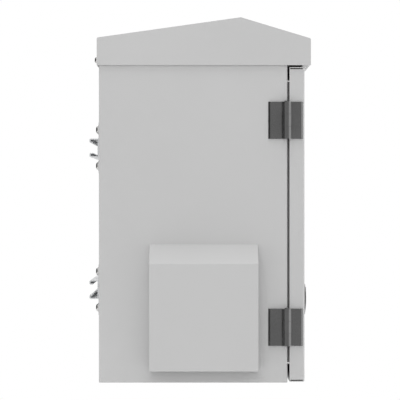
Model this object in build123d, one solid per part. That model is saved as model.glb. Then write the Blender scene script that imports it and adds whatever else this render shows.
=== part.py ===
from build123d import *
from math import acos, cos, pi, radians, sin, tan
import os

# Outdoor wall cabinet for 19-inch equipment: +Z up, door towards -Y, back wall's outer face at Y = 0,
# origin at the centre of the four wall-fixing holes. Heights below are above the cabinet's underside.

# Case
case_width = 600.0
case_depth = 413.0
case_height = 730.0
sheet = 2.0
bend = 1.5
side_frame = 29.0
top_frame = 69.0
bottom_frame = 44.0
lip_depth = 23.0
rear_flange = 36.0
overrun = 5.0
fit_gap = 0.3
pin_gap = 0.05
screw_gap = 0.02

# Wall fixing and strut channels
wall_hole_height = 358.5
wall_hole_radius = 5.5
wall_hole_inset = 35.0
strut_spacing = 314.0
strut_length = 468.0
strut_width = 41.3
strut_depth = 20.6
strut_wall = 2.5
strut_mouth = 22.2
strut_lip = 7.0
strut_bend = 1.0
plate_thickness = 3.0
plate_width = 50.0
plate_height = 112.0
plate_overhang = 8.0
strut_bolt_radius = 5.0
strut_bolt_inset = 75.0
strut_bolt_offset = 40.0
strut_head_radius = 8.5
strut_head_height = 4.5
strut_washer_radius = 10.5
strut_washer = 1.5
strut_nut_flats = 17.0
strut_nut = 8.0

# Roof
roof_side_overhang = 5.0
roof_rear_overhang = 4.6
roof_front_overhang = 13.7
roof_skirt_drop = 35.0
rear_eave_rise = 25.6
front_eave_drop = 2.0
ridge_rise = 44.4
ridge_front_run = 153.3
fascia_hem = 18.0
roof_bolt_radius = 4.0
roof_bolt_inset = 36.0
roof_bolt_rise = 13.0
roof_head_radius = 7.0
roof_head_height = 4.0
roof_washer_radius = 8.5
roof_washer = 1.6
roof_nut_flats = 13.0
roof_nut = 6.5
prop_width = 40.0
prop_side_gap = 90.0
prop_foot_length = 30.0
prop_front_length = 90.0
prop_rear_length = 180.0

# Rain hoods and vents
hood_width = 237.0
hood_front_gap = 64.9
hood_wall_height = 303.0
hood_face_height = 262.0
hood_bottom = 28.5
hood_reach = 65.0
hood_sheet = 1.5
hood_flange = 15.0
hood_hem = 8.0
hood_screw_radius = 2.5
hood_screw_head = 4.75
hood_screw_head_height = 2.8
hood_screw_length = 9.0
hood_screws_a_side = 3
hood_first_screw = 66.5
hood_screw_spacing = 70.0
vent_height = 177.0
filter_window = 172.0
filter_frame_size = 206.0
filter_depth = 18.0
filter_rim = 12.0
filter_slats = 9
filter_slat = 3.0
filter_slat_bite = 1.0
mat_thickness = 8.0
filter_screw_radius = 1.9

# Fan
fan_size = 172.0
fan_depth = 51.0
fan_duct_radius = 79.0
fan_corner = 12.0
fan_flange = 6.0
fan_hole_inset = 9.0
fan_screw_radius = 2.1
fan_screw_head = 4.0
fan_screw_head_height = 2.6
fan_motor_radius = 31.0
fan_motor_depth = 9.0
fan_arm_width = 9.0
fan_arms = 4
rotor_hub_radius = 30.0
rotor_hub_depth = 34.0
rotor_wall = 2.5
rotor_tip_gap = 2.0
rotor_blades = 7
blade_thickness = 1.8
blade_root_chord = 34.0
blade_tip_chord = 46.0
blade_root_pitch = 52.0
blade_tip_pitch = 28.0
rotor_shaft_radius = 3.0
rotor_gap = 1.0
guard_wire = 2.0
guard_rings = 5
guard_inner_radius = 16.0
guard_outer_radius = 76.0

# Rack rails
rail_hole_pitch = 465.1
rail_opening = 450.0
rail_front_gap = 51.0
rail_flange = 25.0
rail_leg = 40.0
rail_sheet = 2.0
rail_bottom = 52.0
rack_unit_height = 44.45
rack_end_spacing = 6.35
rack_hole_spacing = 15.875
rack_hole_width = 9.5
rail_end_margin = 11.0
bracket_height = 22.0
bracket_front_gap = 21.0
bracket_rear_back = 60.0
rail_screw_radius = 3.0
rail_screw_head = 5.5
rail_screw_head_height = 3.3
rail_screw_spacing = 20.0
bracket_rivet_radius = 2.4
bracket_rivet_head = 4.8
bracket_rivet_head_height = 1.6

# Cable entry and earth
gland_window_width = 270.0
gland_window_depth = 84.0
gland_rim = 18.0
gland_back = 110.0
gland_plate = 2.0
grommets = 4
grommet_pitch = 64.0
grommet_hole_radius = 16.0
grommet_bore_radius = 11.0
grommet_lip = 4.0
grommet_lower = 1.5
grommet_upper = 3.5
gland_screw_radius = 2.0
gland_screw_head = 4.0
gland_screw_head_height = 2.4
earth_inset = 100.0
earth_back = 60.0
earth_stud_radius = 4.0
earth_stud_length = 24.0
earth_nut_flats = 13.0
earth_nut = 6.5
earth_washer_radius = 8.0
earth_washer = 1.6

# Door
door_gap = 4.6
door_thickness = 33.0
door_bottom = 2.0
door_top_gap = 4.0
door_sheet = 2.0
door_bend = 4.0
door_return = 12.0
door_slit = 2.2
gasket_width = 12.0

# Hinges
hinge_height = 81.0
hinge_low_gap = 79.0
hinge_high_gap = 76.0
hinge_axis_inset = 2.1
hinge_axis_out = 10.3
hinge_leaf = 5.0
hinge_bevel = 4.0
body_leaf_width = 42.0
door_leaf_width = 34.3
knuckle_radius = 10.2
knuckle_flat = 8.3
knuckle_face_half = 4.5
knuckle_gap = 0.3
hinge_pin_radius = 3.0
hinge_pin_cap = 4.5
hinge_pin_cap_height = 2.0
hinge_stud_radius = 2.5
hinge_stud_spacing = 50.0
hinge_stud_length = 8.0
hinge_nut_flats = 8.0
hinge_nut = 4.0

# Lock
lock_inset = 68.0
lock_height = 185.0
rose_radius = 20.0
rose_thickness = 5.0
rose_chamfer = 1.5
spindle_radius = 8.0
spindle_tail_radius = 5.0
handle_hub_radius = 16.0
handle_top = 25.2
handle_bow_radius = 210.0
handle_hub_gap = 0.4
handle_lever_end = 60.0
handle_lever_width = 20.0
handle_tip_width = 15.0
handle_tip_round = 5.0
handle_lever_thickness = 11.0
handle_edge = 1.5
handle_socket = 6.0
plug_radius = 6.0
plug_depth = 12.0
plug_proud = 0.6
keyway_width = 1.6
keyway_length = 7.0
keyway_depth = 6.0
gear_module = 1.5
gear_teeth = 18
gear_pressure = 20.0
dedendum_share = 1.25
gear_backlash = 0.25
rod_thickness = 5.4
rod_width = 10.0
rod_flange_gap = 1.3
rod_end_gap = 9.0
rack_teeth = 8
rack_tail = 5.0
gear_side_gap = 0.5
gear_cover = 2.0
lock_body_height = 72.0
lock_body_edge = 3.0
lock_screw_radius = 2.0
lock_screw_head = 3.8
lock_screw_head_height = 2.4
guide_block = 16.0
guide_wall = 4.0
guide_inset = 40.0

# Worked out from the sizes above
half_width = case_width / 2
inner_half = half_width - sheet
opening_half = half_width - side_frame
opening_top = case_height - top_frame
lip_front = case_depth + lip_depth
hood_front = case_depth - hood_front_gap
hood_rear = hood_front - hood_width
hood_centre_back = (hood_front + hood_rear) / 2
door_back = case_depth + door_gap
door_front = door_back + door_thickness
door_inner = door_front - door_sheet
roof_half = half_width + roof_side_overhang
roof_front = door_front + roof_front_overhang
roof_skirt_height = case_height - roof_skirt_drop
rear_eave_height = case_height + rear_eave_rise
front_eave_height = rear_eave_height - front_eave_drop
ridge_height = rear_eave_height + ridge_rise
ridge_back = roof_front - ridge_front_run
roof_bolt_height = roof_skirt_height + roof_bolt_rise
door_top = roof_skirt_height - door_top_gap
strut_heights = (wall_hole_height - strut_spacing / 2, wall_hole_height + strut_spacing / 2)
strut_bolt_x = half_width - strut_bolt_inset
roof_bolt_x = half_width - roof_bolt_inset
hinge_bottoms = (door_bottom + hinge_low_gap, door_top - hinge_high_gap - hinge_height)
hinge_axis_x = -half_width - hinge_axis_out
hinge_axis_back = case_depth - hinge_axis_inset
body_leaf_back = case_depth - body_leaf_width
door_leaf_back = case_depth + door_leaf_width
lock_x = half_width - lock_inset
handle_bow_offset = (handle_lever_end - handle_hub_radius) / 2
handle_hub_sag = handle_bow_radius - (handle_bow_radius ** 2 - handle_bow_offset ** 2) ** 0.5
gear_pitch_radius = gear_module * gear_teeth / 2
gear_dedendum = dedendum_share * gear_module
rod_front = case_depth - sheet - rod_flange_gap
rod_back = rod_front - rod_thickness
lock_body_back = rod_front + gear_side_gap
cover_front = rod_back - gear_side_gap
rod_outer = gear_pitch_radius + gear_dedendum + rod_width
lock_body_half = rod_outer + fit_gap + gear_cover
rod_top = opening_top - rod_end_gap - sheet
rod_bottom = bottom_frame + sheet + rod_end_gap
rack_units = int((opening_top - rail_bottom - 2 * rail_end_margin) / rack_unit_height)
rail_length = rack_units * rack_unit_height + 2 * rail_end_margin
rail_outer = rail_opening / 2 + rail_flange
rail_front_back = case_depth - rail_front_gap
bracket_front_back = case_depth - bracket_front_gap
upper_bracket_height = rail_bottom + rail_length - rail_end_margin - bracket_height


def level(height):
    """Z of a height above the cabinet's underside."""
    return height - wall_hole_height


def block(low, high):
    """Box between two corners."""
    size = [end - start for start, end in zip(low, high)]
    return Pos(*low) * Box(*size, align=(Align.MIN, Align.MIN, Align.MIN))


def rod(start, direction, length, radius):
    """Round bar from a point along a direction."""
    turned = Plane(origin=start, z_dir=direction)
    return turned * Cylinder(radius, length, align=(Align.CENTER, Align.CENTER, Align.MIN))


def cone(start, direction, length, radius, end_radius):
    """Tapered round bar from a point along a direction."""
    turned = Plane(origin=start, z_dir=direction)
    return turned * Cone(radius, end_radius, length, align=(Align.CENTER, Align.CENTER, Align.MIN))


def nut(start, direction, flats, length, bore):
    """Hexagon nut with a plain bore, seated at a point."""
    face = RegularPolygon(flats / 2, 6, major_radius=False) - Circle(bore)
    return Plane(origin=start, z_dir=direction) * extrude(face, length)


def washer(start, direction, radius, length, bore):
    """Flat ring seated at a point."""
    return Plane(origin=start, z_dir=direction) * extrude(Circle(radius) - Circle(bore), length)


def button_bolt(seat, direction, head_radius, head_height, shank_radius, shank_length):
    """Round low-headed bolt: the head stands out along the direction, the shank runs back from the seat."""
    crown_share = 0.55
    base_share = 0.45
    base = base_share * head_height
    back = [-part for part in direction]
    crown_seat = [point + part * base for point, part in zip(seat, direction)]
    head = rod(seat, direction, base, head_radius)
    head += cone(crown_seat, direction, head_height - base, head_radius, crown_share * head_radius)
    return head + rod(seat, back, shank_length, shank_radius)


def fold(points, thickness, inner_bend):
    """Section of a folded sheet that lies to the right of the line through the points."""
    line = [Vector(*point) for point in points]
    runs = [(end - start).normalized() for start, end in zip(line, line[1:])]
    sides = [Vector(run.Y, -run.X) for run in runs]
    far = [line[0] + sides[0] * thickness]
    near_radii = []
    far_radii = []
    for corner, before, after, run, next_run in zip(line[1:], sides, sides[1:], runs, runs[1:]):
        far.append(corner + (before + after) * (thickness / (1 + before.dot(after))))
        turns_right = run.cross(next_run).Z < 0
        near_radii.append(inner_bend + thickness if turns_right else inner_bend)
        far_radii.append(inner_bend if turns_right else inner_bend + thickness)
    far.append(line[-1] + sides[-1] * thickness)
    edges = FilletPolyline(*line, radius=near_radii).edges()
    edges += FilletPolyline(*far, radius=far_radii).edges()
    edges += [Line(line[0], far[0]).edge(), Line(line[-1], far[-1]).edge()]
    return make_face(edges)


def along_x(face, start, end):
    """Solid of a Y-Z section between two X planes."""
    return Pos(start, 0, 0) * extrude(Plane.YZ * face, end - start)


def along_y(face, start, end):
    """Solid of an X-Z section from one Y plane back to another."""
    return Pos(0, start, 0) * extrude(Plane.XZ * face, start - end)


def outline(points):
    """Face inside a closed line of straight runs."""
    return make_face(Polyline(*points, close=True).edges())


def joined(pieces):
    """One compound of separate solids."""
    solids = []
    for piece in pieces:
        solids.extend(piece.solids())
    return Compound(children=solids)


def save(shape, node):
    """Write one node's solids."""
    export_step(shape, "parts/" + node + ".step")


def signs():
    """Left and right side of the cabinet."""
    return (-1, 1)


def strut_bolt_places():
    """X and height of the bolts that hold the strut plates."""
    places = []
    for side in signs():
        for height in strut_heights:
            for offset in (-strut_bolt_offset, strut_bolt_offset):
                places.append((side * strut_bolt_x, height + offset))
    return places


def hinge_stud_heights(bottom):
    """Heights of the two studs of a hinge leaf."""
    middle = bottom + hinge_height / 2
    return (middle - hinge_stud_spacing / 2, middle + hinge_stud_spacing / 2)


body_stud_y = -(body_leaf_back + hinge_axis_back - knuckle_radius) / 2
door_stud_y = -(door_leaf_back + hinge_axis_back + knuckle_radius) / 2


def hood_screw_places():
    """Y and height of the screws in a hood's wall flanges."""
    inset = hood_sheet + hood_flange / 2
    first = hood_bottom + hood_first_screw
    places = []
    for y in (-hood_front + inset, -hood_rear - inset):
        for index in range(hood_screws_a_side):
            places.append((y, first + hood_screw_spacing * index))
    return places


def square_places(half):
    """Y and height of four points round the vent's centre."""
    places = []
    for y_sign in signs():
        for z_sign in signs():
            places.append((-hood_centre_back + y_sign * half, vent_height + z_sign * half))
    return places


def fan_screw_places():
    """Y and height of the fan's corner screws."""
    return square_places(fan_size / 2 - fan_hole_inset)


def filter_screw_places():
    """Y and height of the filter grille's corner screws."""
    return square_places(filter_frame_size / 2 - filter_rim / 2)


def bracket_bottoms():
    """Heights of the undersides of the lower and upper rail brackets."""
    return (rail_bottom - sheet, upper_bracket_height)


def bracket_rivet_ys():
    """Y of the headed weld studs that hold a bracket to the side wall."""
    reach = bracket_front_back - bracket_rear_back
    end_share = 0.1
    return (-bracket_rear_back - end_share * reach, -bracket_front_back + end_share * reach)


def rail_screw_ys():
    """Y of the two screws that hold a rail's leg to a bracket."""
    middle = -rail_front_back + rail_leg / 2
    return (middle - rail_screw_spacing / 2, middle + rail_screw_spacing / 2)


# Case: sides and back folded from one sheet, with the front frame and its upright rain lips
def case_wrap():
    path = [
        (-opening_half, -lip_front),
        (-opening_half, -case_depth),
        (-half_width, -case_depth),
        (-half_width, 0),
        (half_width, 0),
        (half_width, -case_depth),
        (opening_half, -case_depth),
        (opening_half, -lip_front),
    ]
    wrap = Pos(0, 0, level(0)) * extrude(fold(path, sheet, bend), case_height)
    inside_lip = opening_half - sheet - overrun
    notch_back = -case_depth + sheet + bend
    for side in signs():
        x_range = sorted((side * inside_lip, side * inner_half))
        for low, high in ((-overrun, bottom_frame), (opening_top, case_height + overrun)):
            wrap -= block(
                (x_range[0], -lip_front - overrun, level(low)),
                (x_range[1], notch_back, level(high)),
            )
    back = (0, -1, 0)
    through = sheet + 2 * overrun
    for x, height in strut_bolt_places():
        wrap -= rod((x, overrun, level(height)), back, through, strut_bolt_radius + screw_gap)
    for side in signs():
        for height in strut_heights:
            hole = (side * (half_width - wall_hole_inset), overrun, level(height))
            wrap -= rod(hole, back, through, wall_hole_radius)
        hole = (side * roof_bolt_x, overrun, level(roof_bolt_height))
        wrap -= rod(hole, back, through, roof_bolt_radius + screw_gap)
        outside = side * (half_width + overrun)
        inward = (-side, 0, 0)
        for y, height in hood_screw_places():
            wrap -= rod((outside, y, level(height)), inward, through, hood_screw_radius + screw_gap)
    for bottom in hinge_bottoms:
        for height in hinge_stud_heights(bottom):
            hole = (-half_width - overrun, body_stud_y, level(height))
            wrap -= rod(hole, (1, 0, 0), through, hinge_stud_radius + screw_gap)
    half_window = filter_window / 2
    wrap -= block(
        (-half_width - overrun, -hood_centre_back - half_window, level(vent_height - half_window)),
        (-inner_half + overrun, -hood_centre_back + half_window, level(vent_height + half_window)),
    )
    vent = (half_width + overrun, -hood_centre_back, level(vent_height))
    wrap -= rod(vent, (-1, 0, 0), through, fan_duct_radius)
    for y, height in fan_screw_places():
        wrap -= rod((vent[0], y, level(height)), (-1, 0, 0), through, fan_screw_radius + screw_gap)
    for y, height in filter_screw_places():
        hole = (-half_width - overrun, y, level(height))
        wrap -= rod(hole, (1, 0, 0), through, filter_screw_radius + screw_gap)
    return wrap


# Case: a welded-in sheet whose front edge makes the frame and the level rain lip
def trim_plate(plate):
    """Lips between the upright lips, and rear corners clear of the wrap's bends."""
    inside_lip = opening_half - sheet
    for side in signs():
        x_range = sorted((side * inside_lip, side * (half_width + overrun)))
        plate -= block(
            (x_range[0], -lip_front - overrun, level(-overrun)),
            (x_range[1], -case_depth, level(case_height + overrun)),
        )
        plate -= block(
            (x_range[0], -lip_front - overrun, level(bottom_frame)),
            (x_range[1], -case_depth + 2 * sheet + bend, level(opening_top)),
        )
        corner = sorted((side * (inner_half - bend), side * half_width))
        plate -= block(
            (corner[0], -sheet - bend, level(-overrun)),
            (corner[1], overrun, level(case_height + overrun)),
        )
    return plate


def case_top():
    path = [
        (-lip_front, level(opening_top)),
        (-case_depth, level(opening_top)),
        (-case_depth, level(case_height)),
        (-sheet, level(case_height)),
        (-sheet, level(case_height - rear_flange)),
    ]
    plate = trim_plate(along_x(fold(path, sheet, bend), -inner_half, inner_half))
    for side in signs():
        hole = (side * roof_bolt_x, overrun, level(roof_bolt_height))
        plate -= rod(hole, (0, -1, 0), 2 * (sheet + overrun), roof_bolt_radius + screw_gap)
    return plate


def gland_places():
    """X and Y of the gland plate's screws."""
    half_x = (gland_window_width + gland_rim) / 2
    half_y = (gland_window_depth + gland_rim) / 2
    places = []
    for x in (-half_x, 0, half_x):
        for y in (-gland_back - half_y, -gland_back + half_y):
            places.append((x, y))
    return places


def case_bottom():
    path = [
        (-sheet, level(rear_flange)),
        (-sheet, level(0)),
        (-case_depth, level(0)),
        (-case_depth, level(bottom_frame)),
        (-lip_front, level(bottom_frame)),
    ]
    plate = trim_plate(along_x(fold(path, sheet, bend), -inner_half, inner_half))
    plate -= block(
        (-gland_window_width / 2, -gland_back - gland_window_depth / 2, level(-overrun)),
        (gland_window_width / 2, -gland_back + gland_window_depth / 2, level(sheet + overrun)),
    )
    for x, y in gland_places():
        hole = (x, y, level(-overrun))
        plate -= rod(hole, (0, 0, 1), sheet + 2 * overrun, gland_screw_radius + screw_gap)
    return plate


# Roof: one sheet folded over the ridge, with welded gable sides
def roof_path():
    return [
        (-roof_front + fascia_hem, level(roof_skirt_height)),
        (-roof_front, level(roof_skirt_height)),
        (-roof_front, level(front_eave_height)),
        (-ridge_back, level(ridge_height)),
        (roof_rear_overhang, level(rear_eave_height)),
        (roof_rear_overhang, level(roof_skirt_height)),
    ]


def roof_cap():
    path = roof_path()
    inside = roof_half - sheet
    cap = along_x(fold(path, sheet, bend), -inside, inside)
    gable = outline(path[1:])
    corners = Plane.YZ * gable
    eaves = corners.vertices().sort_by(Axis.Z)[2:]
    gable = fillet(eaves, bend + sheet)
    for side in signs():
        plate = extrude(gable, side * sheet)
        cap += Pos(side * inside, 0, 0) * plate
    for side in signs():
        hole = (side * roof_bolt_x, roof_rear_overhang + overrun, level(roof_bolt_height))
        cap -= rod(hole, (0, -1, 0), sheet + 2 * overrun, roof_bolt_radius + screw_gap)
    return cap


def roof_underside(y):
    """Height of the roof sheet's inner face at a place along the depth."""
    heights = []
    for eave_y, eave_height in ((-roof_front, front_eave_height), (roof_rear_overhang, rear_eave_height)):
        run = eave_y + ridge_back
        rise = ridge_height - eave_height
        slope_length = (rise * rise + run * run) ** 0.5
        drop = (y + ridge_back) / run * rise
        heights.append(ridge_height - drop - sheet * slope_length / abs(run))
    return min(heights)


def roof_stays():
    front = -ridge_back - prop_front_length
    rear = -ridge_back + prop_rear_length
    path = [
        (front - prop_foot_length, level(case_height + sheet)),
        (front, level(case_height + sheet)),
        (front, level(roof_underside(front))),
        (-ridge_back, level(roof_underside(-ridge_back))),
        (rear, level(roof_underside(rear))),
        (rear, level(case_height + sheet)),
        (rear + prop_foot_length, level(case_height + sheet)),
    ]
    section = fold(path, sheet, bend)
    stays = []
    for side in signs():
        middle = side * (half_width - prop_side_gap)
        stays.append(along_x(section, middle - prop_width / 2, middle + prop_width / 2))
    return joined(stays)


def roof_bolts():
    bolts = []
    for side in signs():
        seat_y = roof_rear_overhang + roof_washer
        seat = (side * roof_bolt_x, seat_y, level(roof_bolt_height))
        length = seat_y + 2 * sheet + roof_nut + screw_gap
        bolts.append(
            button_bolt(seat, (0, 1, 0), roof_head_radius, roof_head_height, roof_bolt_radius, length)
        )
    return joined(bolts)


def roof_washers():
    rings = []
    bore = roof_bolt_radius + screw_gap
    for side in signs():
        outer = (side * roof_bolt_x, roof_rear_overhang, level(roof_bolt_height))
        rings.append(washer(outer, (0, 1, 0), roof_washer_radius, roof_washer, bore))
        inner = (side * roof_bolt_x, 0, level(roof_bolt_height))
        rings.append(washer(inner, (0, 1, 0), roof_washer_radius, roof_rear_overhang - sheet, bore))
    return joined(rings)


def roof_nuts():
    nuts = []
    for side in signs():
        seat = (side * roof_bolt_x, -2 * sheet, level(roof_bolt_height))
        nuts.append(nut(seat, (0, -1, 0), roof_nut_flats, roof_nut, roof_bolt_radius + screw_gap))
    return joined(nuts)


# Strut channels: rolled lipped channels on end plates, open side to the rear
def strut(height):
    half = strut_width / 2
    half_mouth = strut_mouth / 2
    front = plate_thickness
    rear = plate_thickness + strut_depth
    middle = level(height)
    path = [
        (rear - strut_lip, middle - half_mouth),
        (rear, middle - half_mouth),
        (rear, middle - half),
        (front, middle - half),
        (front, middle + half),
        (rear, middle + half),
        (rear, middle + half_mouth),
        (rear - strut_lip, middle + half_mouth),
    ]
    return along_x(fold(path, strut_wall, strut_bend), -strut_length / 2, strut_length / 2)


def strut_plates():
    plates = []
    outer = strut_length / 2 + plate_overhang
    bore = strut_bolt_radius + screw_gap
    for side in signs():
        x_range = sorted((side * outer, side * (outer - plate_width)))
        for height in strut_heights:
            plate = block(
                (x_range[0], 0, level(height - plate_height / 2)),
                (x_range[1], plate_thickness, level(height + plate_height / 2)),
            )
            for offset in (-strut_bolt_offset, strut_bolt_offset):
                hole = (side * strut_bolt_x, -overrun, level(height + offset))
                plate -= rod(hole, (0, 1, 0), plate_thickness + 2 * overrun, bore)
            plates.append(plate)
    return joined(plates)


def strut_bolts():
    bolts = []
    seat_y = plate_thickness + strut_washer
    length = seat_y + sheet + strut_nut + screw_gap
    for x, height in strut_bolt_places():
        seat = (x, seat_y, level(height))
        bolts.append(
            button_bolt(seat, (0, 1, 0), strut_head_radius, strut_head_height, strut_bolt_radius, length)
        )
    return joined(bolts)


def strut_washers():
    bore = strut_bolt_radius + screw_gap
    rings = []
    for x, height in strut_bolt_places():
        seat = (x, plate_thickness, level(height))
        rings.append(washer(seat, (0, 1, 0), strut_washer_radius, strut_washer, bore))
    return joined(rings)


def strut_nuts():
    bore = strut_bolt_radius + screw_gap
    nuts = []
    for x, height in strut_bolt_places():
        nuts.append(nut((x, -sheet, level(height)), (0, -1, 0), strut_nut_flats, strut_nut, bore))
    return joined(nuts)


# Rain hoods: folded cover with a sloped top, open at the bottom, screwed on through inner flanges
def hood(side):
    wall = half_width
    face = half_width + hood_reach
    path = [
        (wall, level(hood_wall_height)),
        (face, level(hood_face_height)),
        (face, level(hood_bottom)),
        (face - hood_hem, level(hood_bottom)),
    ]
    inside_front = -hood_front + hood_sheet
    inside_rear = -hood_rear - hood_sheet
    cover = along_y(fold(path, hood_sheet, bend), inside_rear, inside_front)
    cover -= block(
        (wall - overrun, inside_front - overrun, level(hood_face_height)),
        (wall, inside_rear + overrun, level(hood_wall_height + overrun)),
    )
    cheek = outline(path[:3] + [(wall, level(hood_bottom))])
    cover += along_y(cheek, -hood_rear, inside_rear)
    cover += along_y(cheek, inside_front, -hood_front)
    slope_drop = (hood_wall_height - hood_face_height) * hood_sheet / hood_reach
    flange_top = level(hood_wall_height - slope_drop - 2 * hood_sheet)
    for start in (inside_front, inside_rear - hood_flange):
        flange_end = (wall + hood_sheet, start + hood_flange, flange_top)
        cover += block((wall, start, level(hood_bottom)), flange_end)
    for y, height in hood_screw_places():
        hole = (wall - overrun, y, level(height))
        cover -= rod(hole, (1, 0, 0), hood_sheet + 2 * overrun, hood_screw_radius + screw_gap)
    return cover if side > 0 else mirror(cover, Plane.YZ)


def hood_screws():
    screws = []
    for side in signs():
        for y, height in hood_screw_places():
            seat = (side * inner_half, y, level(height))
            screws.append(
                button_bolt(
                    seat,
                    (-side, 0, 0),
                    hood_screw_head,
                    hood_screw_head_height,
                    hood_screw_radius,
                    hood_screw_length,
                )
            )
    return joined(screws)


# Filter: louvred inner grille over the side window, with the mat behind it
def filter_grille():
    half = filter_frame_size / 2
    half_open = filter_window / 2
    outer_x = -inner_half
    inner_x = -inner_half + filter_depth
    grille = block(
        (outer_x, -hood_centre_back - half, level(vent_height - half)),
        (inner_x, -hood_centre_back + half, level(vent_height + half)),
    )
    grille -= block(
        (outer_x - overrun, -hood_centre_back - half_open, level(vent_height - half_open)),
        (inner_x + overrun, -hood_centre_back + half_open, level(vent_height + half_open)),
    )
    step = filter_window / filter_slats
    slat_start = outer_x + mat_thickness + fit_gap
    slat_rise = inner_x - slat_start
    slat_reach = half_open + filter_slat_bite
    margin = (step - filter_slat - slat_rise) / 2
    for index in range(filter_slats):
        base = vent_height - half_open + margin + step * index
        slat = outline(
            [
                (slat_start, level(base)),
                (slat_start, level(base + filter_slat)),
                (inner_x, level(base + filter_slat + slat_rise)),
                (inner_x, level(base + slat_rise)),
            ]
        )
        grille += along_y(slat, -hood_centre_back + slat_reach, -hood_centre_back - slat_reach)
    for y, height in filter_screw_places():
        hole = (outer_x - overrun, y, level(height))
        grille -= rod(hole, (1, 0, 0), filter_depth + 2 * overrun, filter_screw_radius + screw_gap)
    return grille


def filter_mat():
    half = filter_window / 2 - fit_gap
    return block(
        (-inner_half, -hood_centre_back - half, level(vent_height - half)),
        (-inner_half + mat_thickness, -hood_centre_back + half, level(vent_height + half)),
    )


def filter_screws():
    screws = []
    for y, height in filter_screw_places():
        seat = (-inner_half + filter_depth, y, level(height))
        screws.append(
            button_bolt(
                seat,
                (1, 0, 0),
                fan_screw_head,
                fan_screw_head_height,
                filter_screw_radius,
                filter_depth + sheet,
            )
        )
    return joined(screws)


# Fan: moulded square frame with a round duct, motor seat and arms; the rotor turns about X
fan_outer_x = inner_half
fan_inner_x = inner_half - fan_depth
fan_axis = (-hood_centre_back, vent_height)


def fan_frame():
    half = fan_size / 2
    y, height = fan_axis
    frame = block(
        (fan_inner_x, y - half, level(height - half)),
        (fan_outer_x, y + half, level(height + half)),
    )
    frame = fillet(frame.edges().filter_by(Axis.X), fan_corner)
    waist = block(
        (fan_inner_x + fan_flange, y - half - overrun, level(height - half - overrun)),
        (fan_outer_x - fan_flange, y + half + overrun, level(height + half + overrun)),
    )
    waist -= rod((fan_inner_x, y, level(height)), (1, 0, 0), fan_depth, fan_size / 2)
    frame -= waist
    duct = (fan_inner_x - overrun, y, level(height))
    frame -= rod(duct, (1, 0, 0), fan_depth + 2 * overrun, fan_duct_radius)
    motor_x = fan_outer_x - fan_motor_depth
    frame += rod((motor_x, y, level(height)), (1, 0, 0), fan_motor_depth, fan_motor_radius)
    arm_reach = fan_duct_radius + fan_flange / 2
    for index in range(fan_arms):
        angle = 360 / fan_arms * (index + 0.5)
        arm = block(
            (motor_x, -fan_arm_width / 2, 0),
            (fan_outer_x, fan_arm_width / 2, arm_reach),
        )
        frame += Pos(0, y, level(height)) * Rot(angle, 0, 0) * arm
    bore = (motor_x - overrun, y, level(height))
    bore_depth = overrun + fan_motor_depth / 2 + fit_gap
    frame -= rod(bore, (1, 0, 0), bore_depth, rotor_shaft_radius + pin_gap)
    for hole_y, hole_height in fan_screw_places():
        hole = (fan_inner_x - overrun, hole_y, level(hole_height))
        frame -= rod(hole, (1, 0, 0), fan_depth + 2 * overrun, fan_screw_radius + screw_gap)
    return frame


def blade_section(radius, chord, pitch):
    """Thin blade section across the radius, turned to its pitch about the radius."""
    place = Pos(0, 0, radius) * Rot(0, 0, pitch)
    return place * Rectangle(blade_thickness, chord)


def fan_rotor():
    y, height = fan_axis
    hub_end = fan_outer_x - fan_motor_depth - rotor_gap
    hub_start = hub_end - rotor_hub_depth
    centre = Pos(0, y, level(height))
    hub = rod((hub_start, 0, 0), (1, 0, 0), rotor_hub_depth, rotor_hub_radius)
    cup = (hub_start + rotor_wall, 0, 0)
    hub -= rod(cup, (1, 0, 0), rotor_hub_depth, rotor_hub_radius - rotor_wall)
    tip = fan_duct_radius - rotor_tip_gap
    root = rotor_hub_radius - rotor_wall / 2
    blade = loft(
        [
            blade_section(root, blade_root_chord, blade_root_pitch),
            blade_section(fan_duct_radius, blade_tip_chord, blade_tip_pitch),
        ],
        ruled=True,
    )
    blade = Pos((hub_start + hub_end) / 2, 0, 0) * blade
    blade = blade & rod((hub_start, 0, 0), (1, 0, 0), rotor_hub_depth, tip)
    for index in range(rotor_blades):
        hub += Rot(360 / rotor_blades * index, 0, 0) * blade
    hub -= rod(cup, (1, 0, 0), rotor_hub_depth, rotor_hub_radius - rotor_wall)
    shaft_length = rotor_hub_depth - rotor_wall + rotor_gap + fan_motor_depth / 2
    hub += rod(cup, (1, 0, 0), shaft_length, rotor_shaft_radius)
    return centre * hub


def fan_guard():
    y, height = fan_axis
    x = fan_inner_x - guard_wire
    step = (guard_outer_radius - guard_inner_radius) / (guard_rings - 1)
    guard = None
    for index in range(guard_rings):
        radius = guard_inner_radius + step * index
        outer = radius + guard_wire / 2
        ring = washer((x, y, level(height)), (1, 0, 0), outer, guard_wire, outer - guard_wire)
        guard = ring if guard is None else guard + ring
    hole_reach = (fan_size / 2 - fan_hole_inset) * 2 ** 0.5
    for index in range(fan_arms):
        angle = 360 / fan_arms * (index + 0.5)
        spoke = block(
            (x, -guard_wire / 2, guard_inner_radius - guard_wire / 2),
            (x + guard_wire, guard_wire / 2, hole_reach - fan_screw_radius),
        )
        eye = washer(
            (x, 0, hole_reach), (1, 0, 0), fan_screw_head, guard_wire, fan_screw_radius + screw_gap
        )
        guard += Pos(0, y, level(height)) * Rot(angle, 0, 0) * (spoke + eye)
    return guard


def fan_screws():
    screws = []
    seat_x = fan_inner_x - guard_wire
    for y, height in fan_screw_places():
        screws.append(
            button_bolt(
                (seat_x, y, level(height)),
                (-1, 0, 0),
                fan_screw_head,
                fan_screw_head_height,
                fan_screw_radius,
                guard_wire + fan_depth + sheet,
            )
        )
    return joined(screws)


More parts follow.
